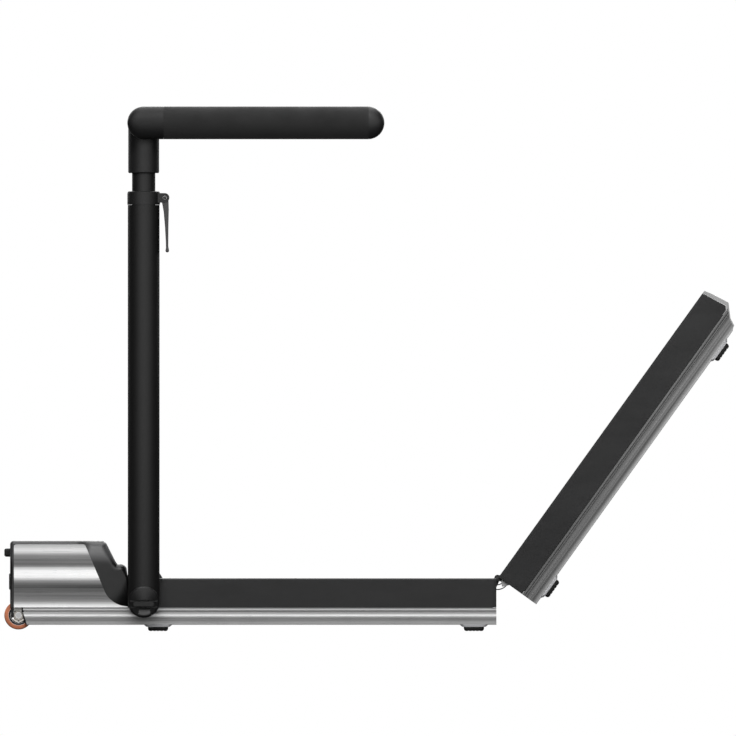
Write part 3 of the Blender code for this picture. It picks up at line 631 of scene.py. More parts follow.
class Section:
    """One half of the deck, along one direction away from the hinge line."""

    def __init__(self, name, direction, place, body, rail_metal, cover_black, screws, feet):
        self.name = name
        self.direction = direction
        self.place = place
        self.body = body
        self.rail_metal = rail_metal
        self.cover_black = cover_black
        self.screws = screws
        self.feet = feet

    def add(self, name, bm, material, slot, nodes=(), **settings):
        return add(name, bm, material, self.body, slot, nodes, place=self.place, **settings)

    def box(self, near, far, y_low, y_high, low, high):
        x_low, x_high = sorted((self.direction * near, self.direction * far))
        return block((x_low, y_low, over(low)), (x_high, y_high, over(high)))

    def along_x(self, profile, near, far_at):
        """A (y, z) profile along the section; far_at(z) says where each point of it ends."""
        near_ring = [(self.direction * near, y, z) for y, z in profile]
        far_ring = [(self.direction * far_at(z), y, z) for y, z in profile]
        return loft([near_ring, far_ring])

    def side_rail(self, side, sign, far_at):
        """Anodised rail with a lip, a groove, a round band and a lower face that leans in; foot cups."""
        where = "_%s_%s" % (self.name, side)
        inner, outer, top = RAIL_LOW.y + 0.026, DECK_HALF, RAIL_HIGH.z
        profile = [(inner, over(height)) for height in (0.0109, 0.0137, 0.0172, 0.0262, 0.0362, top)]
        profile += [(outer - inset, over(height)) for inset, height in
                    ((0.0006, top), (0.0002, top - 0.0006), (0.0002, 0.0358), (0.0014, 0.0350),
                     (0.0014, 0.0328), (0.0006, 0.0320), (0.0003, 0.0308), (0.0002, 0.0275), (0.0002, 0.0262),
                     (0.0003, 0.0240), (0.0009, 0.0226), (0.0011, 0.0172), (0.0012, 0.0137), (0.0013, 0.0115),
                     (0.0020, 0.0109))]
        rail = self.along_x(mirrored(profile, sign), END_GAP, far_at)
        self.add("rail" + where, rail, self.rail_metal, "silver", ["side_rail" + where], angle=60)
        cups = [self.tapered(along, across(sign, 0.2372, 0.2720), 0.006, CUP_RINGS) for along in self.feet]
        self.add("foot_cups" + where, merged(*cups), CUP_SILVER, "silver", bevel=0.0005)

    def tapered(self, along, width, radius, rings):
        """A rounded block that narrows downwards; rings are (height, half length, shrink of the width)."""
        middle = self.direction * along
        loops = []
        for height, half, shrink in rings:
            outline = rectangle((-half, width[0] + shrink), (half, width[1] - shrink), radius)
            loops.append([(middle + x, y, over(height)) for x, y in outline])
        return loft(loops)

    def foot(self, side, sign, number):
        """Rubber pad that tapers to the floor, with cross grooves in its sole."""
        low, high = across(sign, 0.2392, 0.2695)
        along, half_groove = self.feet[number], 0.0007
        grooves = []
        for i in range(4):
            middle = along - 0.009 + 0.006 * i
            grooves.append(self.box(middle - half_groove, middle + half_groove, low - 0.001, high + 0.001,
                                    -0.001, 0.0010))
        name = "%s_%s_%s" % (self.name, ("inner", "outer")[number], side)
        pad = self.tapered(along, (low, high), 0.005, PAD_RINGS)
        self.add("foot_pad_" + name, pad, FOOT_RUBBER, "foot_rubber", ["foot_" + name], cuts=grooves,
                 bevel=0.0003)

    def cover_profile(self, sign):
        """Top plate with fine anti-slip grooves, rounded shoulder, outer wall and inner lip."""
        top, bottom = over(COVER_HIGH.z), over(0.0406)
        inner, outer, wall = 0.223, DECK_HALF, 0.005
        profile = [(outer, bottom)] + arc((outer - 0.003, top - 0.003), 0.003, 0, 90, 6)
        for i in range(9):
            y = 0.2625 - 0.0038 * i
            profile += [(y, top), (y - 0.0004, top - 0.0005), (y - 0.0010, top - 0.0005), (y - 0.0014, top)]
        profile += [(inner + 0.0015, top), (inner + 0.0004, top - 0.0004), (inner, top - 0.0015),
                    (inner, over(0.0825)), (inner + 0.003, over(0.0825)), (inner + 0.003, top - 0.004),
                    (outer - wall, top - 0.004), (outer - wall, bottom)]
        return mirrored(profile, sign)

    def side_cover(self, side, sign, far_at, corner=()):
        """Cover over the rail, a trim plate of the same outline at its hinge end, and screws on top."""
        where = "_%s_%s" % (self.name, side)
        low, high = across(sign, 0.2450, 0.2600)
        notch, trim_notch = [self.box(-0.002, 0.0105, low, high, 0.080, 0.093) for _ in range(2)]
        cover = self.along_x(self.cover_profile(sign), END_GAP + TRIM - 0.0001, far_at)
        cuts = [notch] + [extrusion(outline, "Y", low - 0.05, high + 0.05) for outline in corner]
        self.add("cover" + where, cover, self.cover_black, "black_plastic", ["side_cover" + where], cuts=cuts)
        trim = self.along_x(self.cover_profile(sign), END_GAP, lambda z: END_GAP + TRIM)
        self.add("cover_trim" + where, trim, DEEP_BLACK, "black_plastic", cuts=[trim_notch], bevel=0.0004,
                 angle=60)
        screws = [screw_head(self.direction * along, sign * 0.2680, over(COVER_HIGH.z))
                  for along in self.screws]
        self.add("cover_screws" + where, merged(*screws), ZINC, "steel", bevel=0.0001)


def screw_head(x, y, z):
    """Low button head on a face that looks up."""
    radius, proud = 0.0021, 0.0003
    rings = []
    for height, share in ((-0.0006, 1.0), (proud * 0.4, 1.0), (proud, 0.8)):
        width = 2 * radius * share
        rings.append([(*point, z + height) for point in oval((x, y), width, width, 24)])
    return loft(rings)


def front_end(z):
    """The front rail stops square, then slants back under the wheel."""
    slant = max(0.0, over(0.0330) - z)
    return FRONT_RAIL - 0.30 * slant


# outer edge of the rear end, as points along the deck and below its top
REAR_EDGE = ((0.6078, -0.0130), (0.6127, -0.0462), (0.6030, -0.0550), (0.5925, -0.0650), (0.5880, -0.0740),
             (0.5860, -0.0775), (0.5800, -0.0803))
CAP_WALL = 0.0024


def rear_end(z):
    """The rear rail fills the end cap and is cut back under its nose."""
    for (far, high), (near, low) in zip(REAR_EDGE, REAR_EDGE[1:]):
        if z >= low:
            return far + (near - far) * (high - z) / (high - low) - CAP_WALL - 0.0002
    return REAR_EDGE[-1][0] - CAP_WALL


def rear_cover_end(z):
    """The rear cover's end leans out a little towards the rail."""
    return 0.5993 - 0.135 * z


def rail_plug(side, sign):
    """Black end plug of the front rail."""
    plug = ((0.2632, 0.0120), (0.2632, 0.0392), (0.2722, 0.0392), (0.2722, 0.0250), (0.2705, 0.0120))
    rings = []
    for step in (-0.0005, 0.0022):
        rings.append([(-(front_end(over(height)) + step), sign * y, over(height)) for y, height in plug])
    front.add("rail_plug_" + side, loft(rings), DEEP_BLACK, "black_plastic", bevel=0.0005)


def hinge_tab(side, sign):
    """Grey tab of the rear end face, which slips into the front cover as the deck closes."""
    tab = [(0.0020, -0.0080), (-0.0022, -0.0095), (-0.0078, -0.0150), (-0.0040, -0.0190), (0.0020, -0.0240)]
    rear.add("hinge_tab_" + side, slab(tab, sign, 0.2610, 0.2680), CAP_GREY, "light_grey", bevel=0.0006,
             segments=3)


# corner cut out of the rear cover's end, beside the end cap
REAR_CORNER = ((0.5988, -0.0513), (0.6062, -0.0447), (0.6120, -0.0447), (0.6120, -0.0513))

front = Section("front", -1, FRONT_PLACE, "base", RAIL_SILVER, COVER_BLACK,
                screws=(0.100, 0.345, 0.560), feet=(0.0402, 0.5802))
rear = Section("rear", 1, REAR_PLACE, "rear_deck", REAR_SILVER, REAR_COVER_PAINTED_SHADE_BLACK,
               screws=(0.080, 0.310, 0.520), feet=(0.0395, 0.537))
for side, sign in SIDES:
    front.side_rail(side, sign, front_end)
    front.side_cover(side, sign, lambda z: FRONT_COVER)
    rear.side_rail(side, sign, rear_end)
    rear.side_cover(side, sign, rear_cover_end, [REAR_CORNER])
    for number in (0, 1):
        front.foot(side, sign, number)
        rear.foot(side, sign, number)
    rail_plug(side, sign)
    hinge_tab(side, sign)


def end_cap():
    """Grey cap round the rear end: a wide strip beside the covers, thin where it wraps the rails' ends."""
    top = -0.0009
    outer = [(0.5996, top, 0.0), (0.6050, top, 0.0015)]
    outer += [(*point, 0.0) for point in REAR_EDGE[:-1]]
    inner = [(along - CAP_WALL, depth + 0.0004, 0.0) for along, depth in REAR_EDGE[5:1:-1]]
    inner += [(0.6050, -0.0507, 0.0), (0.6002, -0.0507, 0.0), (0.6060, -0.0455, 0.0)]
    rear.add("rear_end_cap", extrusion(rounded(outer + inner, 5), "Y", -DECK_HALF, DECK_HALF), CAP_GREY,
             "light_grey", ["end_cap"], bevel=0.0005, angle=50)


def tread(depth):
    """The belt's points across the fold at rest, where each share of the way takes a share of the bend."""
    points = []
    for step in range(13):
        share = step / 12
        weight = share * share * (3 - 2 * share)
        reach = -BEND_HALF + 2 * BEND_HALF * share
        turn = weight * FOLD
        flat = (reach - depth * math.sin(turn - FOLD / 2)) / math.cos(turn - FOLD / 2)
        points.append(HINGE + Vector((flat * math.cos(turn) + depth * math.sin(turn), 0,
                                      flat * math.sin(turn) - depth * math.cos(turn))))
    return points


# half the length over which the belt bends at the fold, and the lower strand's depth there
BEND_HALF = 0.0105
BACK_DEPTH = 0.0200
ROLLER_RADIUS = 0.020


def belt_loop(depth, back_depth, radius):
    """Points round the belt: drive roller, deck, fold, idler roller, and back underneath."""
    front_axis, rear_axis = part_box("drive_roller_axle"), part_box("idler_roller_axle")
    front_roller = FRONT_PLACE.inverted() @ ((front_axis[0] + front_axis[1]) / 2)
    rear_roller = REAR_PLACE.inverted() @ ((rear_axis[0] + rear_axis[1]) / 2)
    below = back_depth - BACK_DEPTH
    slack = ((0.300, 0.0445), (0.052, 0.0340), (0.030, 0.0262), (0.0100, 0.0206))
    first = arc((front_roller.x, front_roller.z), radius, 270, 90, 20)
    first += [(front_roller.x * (1 - share) - 0.012 * share, -depth) for share in (0.2, 0.4, 0.6, 0.8, 0.95)]
    second = [(rear_roller.x * share + 0.012 * (1 - share), -depth) for share in (0.05, 0.2, 0.4, 0.6, 0.8)]
    second += arc((rear_roller.x, rear_roller.z), radius, 90, -90, 20)
    second += [(x, -z - below) for x, z in slack]
    last = [(-x, -z - below) for x, z in slack[::-1]]

    def placed(place, points):
        return [place @ Vector((x, 0, z)) for x, z in points]

    return (placed(FRONT_PLACE, first) + tread(depth) + placed(REAR_PLACE, second) + tread(back_depth)[::-1]
            + placed(FRONT_PLACE, last))


def belt_mesh():
    """Closed belt with its length and width as UV."""
    gap = 0.0003
    outer = belt_loop(0.0110, BACK_DEPTH + 0.0009, ROLLER_RADIUS + gap + 0.0018)
    inner = belt_loop(0.0128, BACK_DEPTH - 0.0009, ROLLER_RADIUS + gap)
    bm = bmesh.new()
    uv = bm.loops.layers.uv.new("belt")
    half = BELT_HIGH.y
    rings = []
    for loop, y in ((outer, -half), (outer, half), (inner, half - 0.0003), (inner, -half + 0.0003)):
        rings.append([bm.verts.new((point.x, y, point.z)) for point in loop])
    run = [0.0]
    for first, second in zip(outer, outer[1:] + outer[:1]):
        run.append(run[-1] + (second - first).length)
    count = len(outer)
    for ring, following in zip(rings, rings[1:] + rings[:1]):
        for i in range(count):
            j = (i + 1) % count
            face = bm.faces.new((ring[i], ring[j], following[j], following[i]))
            for corner, place in zip(face.loops, (run[i], run[i + 1], run[i + 1], run[i])):
                corner[uv].uv = (place, corner.vert.co.y + half)
    bmesh.ops.recalc_face_normals(bm, faces=bm.faces[:])
    return mesh_from("running_belt", bm)


def running_belt():
    mesh = belt_mesh()
    mesh.shade_smooth()
    mesh.set_sharp_from_angle(angle=math.radians(40))
    mesh.materials.append(BELT)
    belt = linked("running_belt", mesh)
    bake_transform(belt)
    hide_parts("running_belt_front", "running_belt_rear")


end_cap()
running_belt()
dress(FRAME_BLACK, "frame_front", "frame_rear")
dress(BOARD, "deck_board_front", "deck_board_rear")
dress(STEEL, "drive_roller_axle", "idler_roller_axle", "wheel_axle", "motor_pulley")
dress(ROLLER_METAL, "drive_roller", "idler_roller")
dress(ZINC, "floor_pan")
dress(PIN_STEEL, "hinge_pin_left", "hinge_pin_right")
dress(CAST, "drive_motor", "motor_controller")
dress(DRIVE_RUBBER, "drive_belt")


# ---------------------------------------------------------------- nose: hood, panels, wheels
def base_piece(name, bm, material, slot, nodes=(), **settings):
    return add(name, bm, material, "base", slot, nodes, **settings)


def nose_x(points):
    """Points given as (distance from the nose, height above the floor), as local ones."""
    return [(from_nose(x), over(z)) for x, z in points]


def hood_outline():
    """Side outline of the hood: (distance from the nose, height) and the radius of the edge beside it."""
    outline = [((0.010, 0.0406), 0.0), ((0.010, 0.060), 0.0030)]
    outline += [(point, 0.0058) for point in arc((0.016, 0.1484), 0.006, 180, 90, 6)]
    outline += [((0.120, 0.1544), 0.0064), ((0.145, 0.1544), 0.0085)]
    outline += [(point, 0.0115) for point in arc((0.1655, 0.1429), 0.0115, 90, 28, 10)]
    outline += [((0.1830, 0.1336), 0.0120), ((0.1900, 0.1199), 0.0110)]
    outline += [(point, 0.0112) for point in arc((0.1985, 0.1030), 0.0118, 112, 24, 8)]
    return outline + [((0.2106, 0.0975), 0.0060), ((0.2124, 0.0915), 0.0045), ((0.2124, 0.0406), 0.0)]


def hood_rings(half):
    """The outline at steps across the hood, drawn inward where the two side edges are rounded."""
    outline = hood_outline()
    inward = []
    for (before, _), (after, _) in zip(outline[-1:] + outline[:-1], outline[1:] + outline[:1]):
        run = (Vector(after) - Vector(before)).normalized()
        inward.append(Vector((run.y, -run.x)))
    rings = []
    turns = [math.radians(90 - 90 * step / 6) for step in range(7)]
    for sign, turn in [(-1, turn) for turn in turns] + [(1, turn) for turn in reversed(turns)]:
        ring = []
        for (point, radius), way in zip(outline, inward):
            place = Vector(point) + way * radius * (1 - math.cos(turn))
            ring.append((from_nose(place.x), sign * (half - radius * (1 - math.sin(turn))), over(place.y)))
        rings.append(ring)
    return rings


def lean_in(shell, half):
    """Behind the panels the hood's sides lean in towards the top, with a soft start."""
    slope, soft = 0.36, 0.0180
    for vert in shell.verts:
        rise = min(max(vert.co.z - over(0.1180), 0.0), soft)
        above = max(vert.co.z - over(0.1180 + soft), 0.0)
        share = min(max((vert.co.x - from_nose(0.1230)) / 0.0250, 0.0), 1.0)
        lean = slope * (rise * rise / (2 * soft) + above) * share * share * (3 - 2 * share)
        if abs(vert.co.y) > half - 0.02:
            vert.co.y -= math.copysign(lean, vert.co.y)


def hood_shell():
    """Hood moulded in one, hollow, with two shallow parting grooves across its top."""
    half = HOOD_HIGH.y
    shell = loft(hood_rings(half))
    sliced(shell, "Z", [over(0.1160 + 0.0020 * i) for i in range(19)])
    sliced(shell, "X", [from_nose(0.1200 + 0.0025 * i) for i in range(13)])
    bmesh.ops.remove_doubles(shell, verts=shell.verts[:], dist=0.00002)
    lean_in(shell, half)
    hollow = [(0.004, 0.030), (0.004, 0.1476), (0.0135, 0.1502)] + arc((0.1645, 0.1405), 0.0097, 90, 28, 6)
    hollow += [(0.1880, 0.1155), (0.1965, 0.1112), (0.2060, 0.0975), (0.2085, 0.0890), (0.222, 0.0890),
               (0.222, 0.030)]
    window = block((-0.0122, -0.0752, -0.006), (0.0122, 0.0752, 0.010))
    window.transform(FRONT_PLACE.inverted() @ display_seat())
    cuts = [extrusion(nose_x(hollow), "Y", -0.2595, 0.2595), window]
    for x in (0.0290, 0.1330):
        cuts.append(block((from_nose(x), -0.28, over(0.1540)), (from_nose(x + 0.0012), 0.28, over(0.160))))
    base_piece("hood_shell", shell, HOOD_BLACK, "black_plastic", ["motor_hood"], cuts=cuts)


def display_seat():
    """Place of the display: the middle of the CAD lens, turned with the slope it lies in."""
    low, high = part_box("display_lens")
    # two points of the slope: (distance from the nose, height above the floor)
    upper, lower = (0.1757, 0.1479), (0.1908, 0.1184)
    slope = math.atan2(upper[1] - lower[1], upper[0] - lower[0])
    return Matrix.Translation((low + high) / 2) @ Matrix.Rotation(math.pi - slope, 4, "Y")


def display():
    """Flush window with a seven-segment readout, a plain clock of zeros."""
    seat = display_seat()
    lens = extrusion(rectangle((-0.0118, -0.0748), (0.0118, 0.0748), 0.004, 5), "Z", -0.0024, 0.0004)
    base_piece("display_window", lens, LENS, "lens", ["display_lens"], place=seat, bevel=0.0007, segments=3)
    strokes = []
    for digit in (-0.024, -0.008, 0.010, 0.026):
        for x, y, width, height in ((-0.0060, 0, 0.0006, 0.0044), (0.0, -0.0030, 0.0048, 0.0006),
                                    (0.0, 0.0030, 0.0048, 0.0006), (0.0060, 0, 0.0006, 0.0044)):
            middle = digit + y
            strokes.append(block((x - width, middle - height, 0.0003), (x + width, middle + height, 0.0006)))
    base_piece("display_digits", merged(*strokes), DIGITS, "lens", place=seat, bevel=0.0001, segments=1)


def hood_panel(side, sign):
    """Anodised side plate with shallow rolled flutes; its rear edge falls in a long sweep."""
    corners = [(0.0165, 0.0406, 0.0), (0.0165, 0.1486, 0.0045), (0.1372, 0.1486, 0.006)]
    outline = rounded(corners + [(0.2110, 0.0406, 0.0)], 5)[:-1]
    outline += arc((0.2110, 0.0855), 0.0430, 200, 270, 16) + [(0.2110, 0.0406)]
    panel = slab(nose_x(outline), sign, PANEL_LOW.y, PANEL_HIGH.y)
    sliced(panel, "Z", [over(0.0420 + 0.0021 * i) for i in range(51)])
    flute_depth, flute_height = 0.00030, 0.0360
    for vert in panel.verts:
        if abs(vert.co.y) > PANEL_HIGH.y - 0.0001:
            turn = 2 * math.pi * (vert.co.z - over(0.0406)) / flute_height
            vert.co.y -= sign * flute_depth * (0.5 - 0.5 * math.cos(turn))
    base_piece("hood_side_" + side, panel, PANEL_SILVER, "silver", ["hood_panel_" + side])


def front_block(near, far, y_low, y_high, low, high):
    """A block given by distances from the nose and heights above the floor."""
    return block((from_nose(near), y_low, over(low)), (from_nose(far), y_high, over(high)))


def nose_plate():
    """Front plate with vents, wheel arches, two shallow grooves, and holes for the inlet and the switch."""
    plate = front_block(0.0104, 0.0150, -0.2664, 0.2664, 0.0406, 0.1472)
    cuts = [front_block(0.0, 0.020, *across(sign, 0.2375, 0.270), 0.030, 0.0570) for sign in (-1, 1)]
    margin = 0.0006
    for low, high in (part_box("power_inlet"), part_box("power_switch")):
        cuts.append(front_block(0.0, 0.03, low.y - margin, high.y + margin, low.z - margin, high.z + margin))
    for row in range(5):
        for column in range(8):
            y, z = 0.020 + 0.0215 * column, over(0.0610 + 0.0072 * row)
            vent = rectangle((y - 0.0082, z), (y + 0.0082, z + 0.0034), 0.0016, 3)
            cuts.append(extrusion(vent, "X", from_nose(0.005), from_nose(0.020)))
    for reach, height in ((0.255, 0.1180), (0.230, 0.0470)):
        cuts.append(front_block(0.005, 0.0110, -reach, reach, height, height + 0.0008))
    base_piece("nose_plate", plate, BLACK, "black_plastic", ["front_panel"], cuts=cuts, bevel=0.0004,
               angle=50)


def face_centre(node):
    """Middle of a CAD node seen from the front: Y, and Z counted from the hinge line."""
    low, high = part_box(node)
    return (low.y + high.y) / 2, over((low.z + high.z) / 2)


def pushed_in(outline, near, far):
    """A (y, z) outline pushed from one distance behind the nose's tip to another."""
    return extrusion(outline, "X", from_nose(near), from_nose(far))


def inlet():
    """Panel inlet with a flange, a shaped socket and three blades."""
    y, z = face_centre("power_inlet")
    flange = rectangle((y - 0.0168, z - 0.0128), (y + 0.0168, z + 0.0128), 0.003, 5)
    body = rectangle((y - 0.0138, z - 0.0098), (y + 0.0138, z + 0.0098), 0.002)
    half_socket = [(0.0120, -0.0080), (0.0120, 0.0035), (0.0075, 0.0080)]
    socket = half_socket + mirrored(half_socket[::-1], -1)
    socket = rounded([(y + across_y, z + up, 0.0015) for across_y, up in socket], 4)
    base_piece("inlet_body", pushed_in(flange, 0.0082, 0.0104), DEEP_BLACK, "black_plastic", ["power_inlet"],
               joins=[pushed_in(body, 0.0095, 0.0395)], cuts=[pushed_in(socket, 0.0, 0.026)], bevel=0.0005,
               angle=50)
    blades = []
    for offset, lift in ((-0.0070, -0.0020), (0.0, 0.0022), (0.0070, -0.0020)):
        blades.append(block((from_nose(0.0140), y + offset - 0.0010, z + lift - 0.0022),
                            (from_nose(0.0300), y + offset + 0.0010, z + lift + 0.0022)))
    base_piece("inlet_blades", merged(*blades), STEEL, "steel", bevel=0.0004)


def switch():
    """Rocker switch in its bezel, pressed to one side."""
    y, z = face_centre("power_switch")
    bezel = rectangle((y - 0.0090, z - 0.0138), (y + 0.0090, z + 0.0138), 0.0015)
    opening = block((from_nose(0.0), y - 0.0066, z - 0.0116), (from_nose(0.020), y + 0.0066, z + 0.0116))
    base_piece("switch_bezel", pushed_in(bezel, 0.0088, 0.0104), DEEP_BLACK, "black_plastic", cuts=[opening],
               bevel=0.0004, angle=50)
    face = rounded([(-0.0076, 0.0092, 0.0008), (-0.0070, 0.0048, 0.004), (-0.0084, 0.0, 0.004),
                    (-0.0088, -0.0048, 0.004), (-0.0076, -0.0092, 0.0008)], 3)
    rocker = extrusion(face + arc((0.0, 0.0), 0.0098, -88, 88, 12), "Y", -0.0058, 0.0058)
    place = Matrix.Translation(joint_at("switch_rock")) @ Matrix.Rotation(math.radians(-7), 4, "Y")
    add("switch_rocker", rocker, SATIN_BLACK, "switch_rocker", "black_plastic", ["power_switch"], place=place,
        bevel=0.0006, segments=3, angle=50)


def standing_foot(side):
    """Ribbed rubber block on the nose."""
    y, z = face_centre("standing_foot_" + side)
    rings = []
    for x, width, height in ((0.0100, 0.0275, 0.00725), (0.0030, 0.0272, 0.0070), (0.0010, 0.0262, 0.0062),
                             (0.0001, 0.0245, 0.0046)):
        outline = rectangle((y - width, z - height), (y + width, z + height), 0.004)
        rings.append([(from_nose(x), *point) for point in outline])
    ribs = []
    for i in range(6):
        middle = y - 0.0205 + 0.0082 * i
        ribs.append(block((from_nose(-0.002), middle - 0.0009, z - 0.010),
                          (from_nose(0.0012), middle + 0.0009, z + 0.010)))
    base_piece("standing_pad_" + side, loft(rings), FOOT_RUBBER, "foot_rubber", ["standing_foot_" + side],
               cuts=ribs, bevel=0.0003)


WHEEL_INNER, WHEEL_OUTER, WHEEL_RADIUS = 0.2400, 0.2620, 0.0243


def wheel_turned(sign, profile, bore, segments=64):
    """A turned part of the wheel; profile points are (side, inset from that side of the wheel, radius)."""
    points = [((WHEEL_INNER + inset) if inner else (WHEEL_OUTER - inset), radius)
              for inner, inset, radius in profile]
    return turned(mirrored(points, sign), bore=bore, segments=segments)


def wheel_guard(side, sign):
    """Metal guard over the wheel and the plastic fork in front of it, fixed to the base."""
    guard = [(0.0162, 0.0404), (0.0300, 0.0404), (0.0306, 0.0286), (0.0284, 0.0318), (0.0250, 0.0338),
             (0.0200, 0.0346), (0.0162, 0.0342)]
    fork = [(0.0106, 0.0404), (0.0156, 0.0404), (0.0166, 0.0250), (0.0146, 0.0232), (0.0126, 0.0250)]
    base_piece("wheel_guard_" + side, slab(nose_x(guard), sign, 0.2630, 0.2650), ZINC, "steel", bevel=0.0004)
    base_piece("wheel_fork_" + side, slab(nose_x(fork), sign, 0.2630, 0.2650), DEEP_BLACK, "black_plastic",
               bevel=0.0006)


def wheel(side, sign):
    """Orange tyre with two grooves, a black rim and a pale hub with six small holes."""
    place = on_middle(joint_at(side + "_wheel_spin"))
    body = side + "_wheel"
    shoulder = [(0.0, 0.0178), (0.0, WHEEL_RADIUS - 0.0034), (0.0012, WHEEL_RADIUS - 0.0012),
                (0.0034, WHEEL_RADIUS)]
    tyre = [(True, inset, radius) for inset, radius in shoulder]
    for middle in (0.0080, 0.0140):
        for step, drop in ((-0.0010, 0.0), (-0.0006, 0.0010), (0.0006, 0.0010), (0.0010, 0.0)):
            tyre.append((True, middle + step, WHEEL_RADIUS - drop))
    tyre += [(False, inset, radius) for inset, radius in reversed(shoulder)]
    add("wheel_tyre_" + side, wheel_turned(sign, tyre, 0.0172, segments=80), TYRE, body, "orange_tyre",
        ["transport_wheel_" + side], place=place)
    wheel_guard(side, sign)
    rim = [(True, 0.0004, 0.0140), (True, 0.0004, 0.0170), (False, 0.0006, 0.0170), (False, 0.0006, 0.0152),
           (False, 0.0016, 0.0146)]
    add("wheel_rim_" + side, wheel_turned(sign, rim, 0.0136), DEEP_BLACK, body, "black_plastic", place=place)
    hub = [(True, 0.0030, 0.0134), (False, 0.0030, 0.0134), (False, 0.0022, 0.0120), (False, 0.0026, 0.0090),
           (False, 0.0006, 0.0082)]
    low, high = across(sign, WHEEL_INNER, WHEEL_OUTER + 0.002)
    holes = [rod(low, high, 0.0016, centre, 16) for centre in arc((0.0, 0.0), 0.0108, 30, 330, 5)]
    add("wheel_hub_" + side, wheel_turned(sign, hub, 0.0053), HUB_SILVER, body, "orange_tyre", place=place,
        cuts=holes, bevel=0.0002)


hood_shell()
display()
nose_plate()
inlet()
switch()
for side, sign in SIDES:
    hood_panel(side, sign)
    standing_foot(side)
    wheel(side, sign)


# ---------------------------------------------------------------- handrails
POST_WIDTH = POST_HIGH.x - POST_LOW.x
POST_DEPTH = POST_HIGH.y - POST_LOW.y
POST_MIDDLE = (POST_HIGH.y + POST_LOW.y) / 2
NECK_WIDTH = 0.0398
NECK_DEPTH = 0.0240
HEAD_BOTTOM = 0.783
ARM_RADIUS = (ARM_HIGH.z - ARM_LOW.z) / 2
ARM_REACH = ARM_HIGH.x - ARM_LOW.x - 2 * ARM_RADIUS


def raised(outline, heights):
    """Rings at several heights; outline(grow) gives the outline for each (height, grow)."""
    return [[(x, y, z) for x, y in outline(grow)] for z, grow in heights]


def bracket(side, sign, place):
    """Bracket on the deck with the shaft that the post turns on."""
    outline = arc((0.0, 0.0), 0.0255, 180, 360, 24)
    outline += [(0.0262, 0.0402), (0.0325, 0.0407), (0.0266, 0.0498), (-0.0255, 0.0498)]
    shaft = rod(sign * 0.2815, sign * 0.3300, 0.009)
    base_piece("bracket_" + side, slab(outline, sign, PANEL_HIGH.y + 0.0003, 0.2825), BLACK, "black_plastic",
               ["post_bracket_" + side], place=place, joins=[shaft], bevel=0.0010, segments=3)


def post_tube(side, sign, place, top):
    """Oval post, hollow at its top, with its lower end cut round about the pivot."""
    middle = sign * POST_MIDDLE
    radius = POST_WIDTH / 2 + 0.0002
    wide, deep = radius + 0.01, -radius - 0.01
    tube = extrusion(oval((0.0, middle), 2 * radius, POST_DEPTH - 0.0004, 96), "Z", -radius - 0.001, top)
    hollow = extrusion(oval((0.0, middle), NECK_WIDTH + 0.0012, NECK_DEPTH + 0.0012), "Z", 0.100, top + 0.05)
    below = [(-wide, 0.0)] + arc((0.0, 0.0), radius, 180, 360, 40)
    below += [(wide, 0.0), (wide, deep), (-wide, deep)]
    below = extrusion(below, "Y", middle - 0.04, middle + 0.04)
    add("post_tube_" + side, tube, POST_BLACK, side + "_post", "black_paint", ["post_" + side], place=place,
        cuts=[hollow, below, rod(sign * 0.27, sign * 0.3450, 0.0093)], bevel=0.0004, angle=60)


def knob(side, sign, place):
    """Domed cap that locks the post, with a finger bar, a thumb recess and a ribbed rim."""
    dome = [(0.3193, 0.0250), (0.3200, 0.0262), (0.3212, 0.0265), (0.3315, 0.0265), (0.3328, 0.0262),
            (0.3337, 0.0254), (0.3341, 0.0242), (0.3350, 0.0150), (0.3355, 0.0060), (0.3357, 0.0002)]
    cap = turned(mirrored(dome, sign), segments=96)
    for vert in cap.verts:
        across_face = math.sqrt(max(0.0, 1.0 - (vert.co.x / 0.0268) ** 2))
        proud = max(0.0, abs(vert.co.y) - 0.3212)
        vert.co.y = sign * (abs(vert.co.y) - proud * 0.75 * (1.0 - across_face))
    bore = rod(sign * 0.3100, sign * 0.3304, 0.0093)
    # thumb recess: a short drop under the bar, then a long ramp out to the rim
    ramp = [(0.3303, -0.0104), (0.3400, -0.0098), (0.3400, -0.0240), (0.3352, -0.0240)]
    thumb = extrusion(mirrored(ramp, sign), "X", -0.0085, 0.0110)
    low, high = across(sign, 0.3292, 0.3420)
    grooves = [block((-0.030, low, z - 0.0013), (0.030, high, z + 0.0013)) for z in (0.0014, -0.0092)]
    low, high = across(sign, 0.3190, 0.3275)
    grips = [rod(low, high, 0.0011, centre, 12) for centre in oval((0.0, 0.0), 0.0540, 0.0540, 24)]
    bar = slab(rectangle((-0.0175, -0.0078), (0.0175, 0.0002), 0.003), sign, 0.3300, 0.3398)
    add("knob_" + side, cap, KNOB_BLACK, side + "_knob", "black_plastic", ["post_knob_" + side], place=place,
        joins=[bar], cuts=[bore, thumb] + grooves + grips, bevel=0.0004)


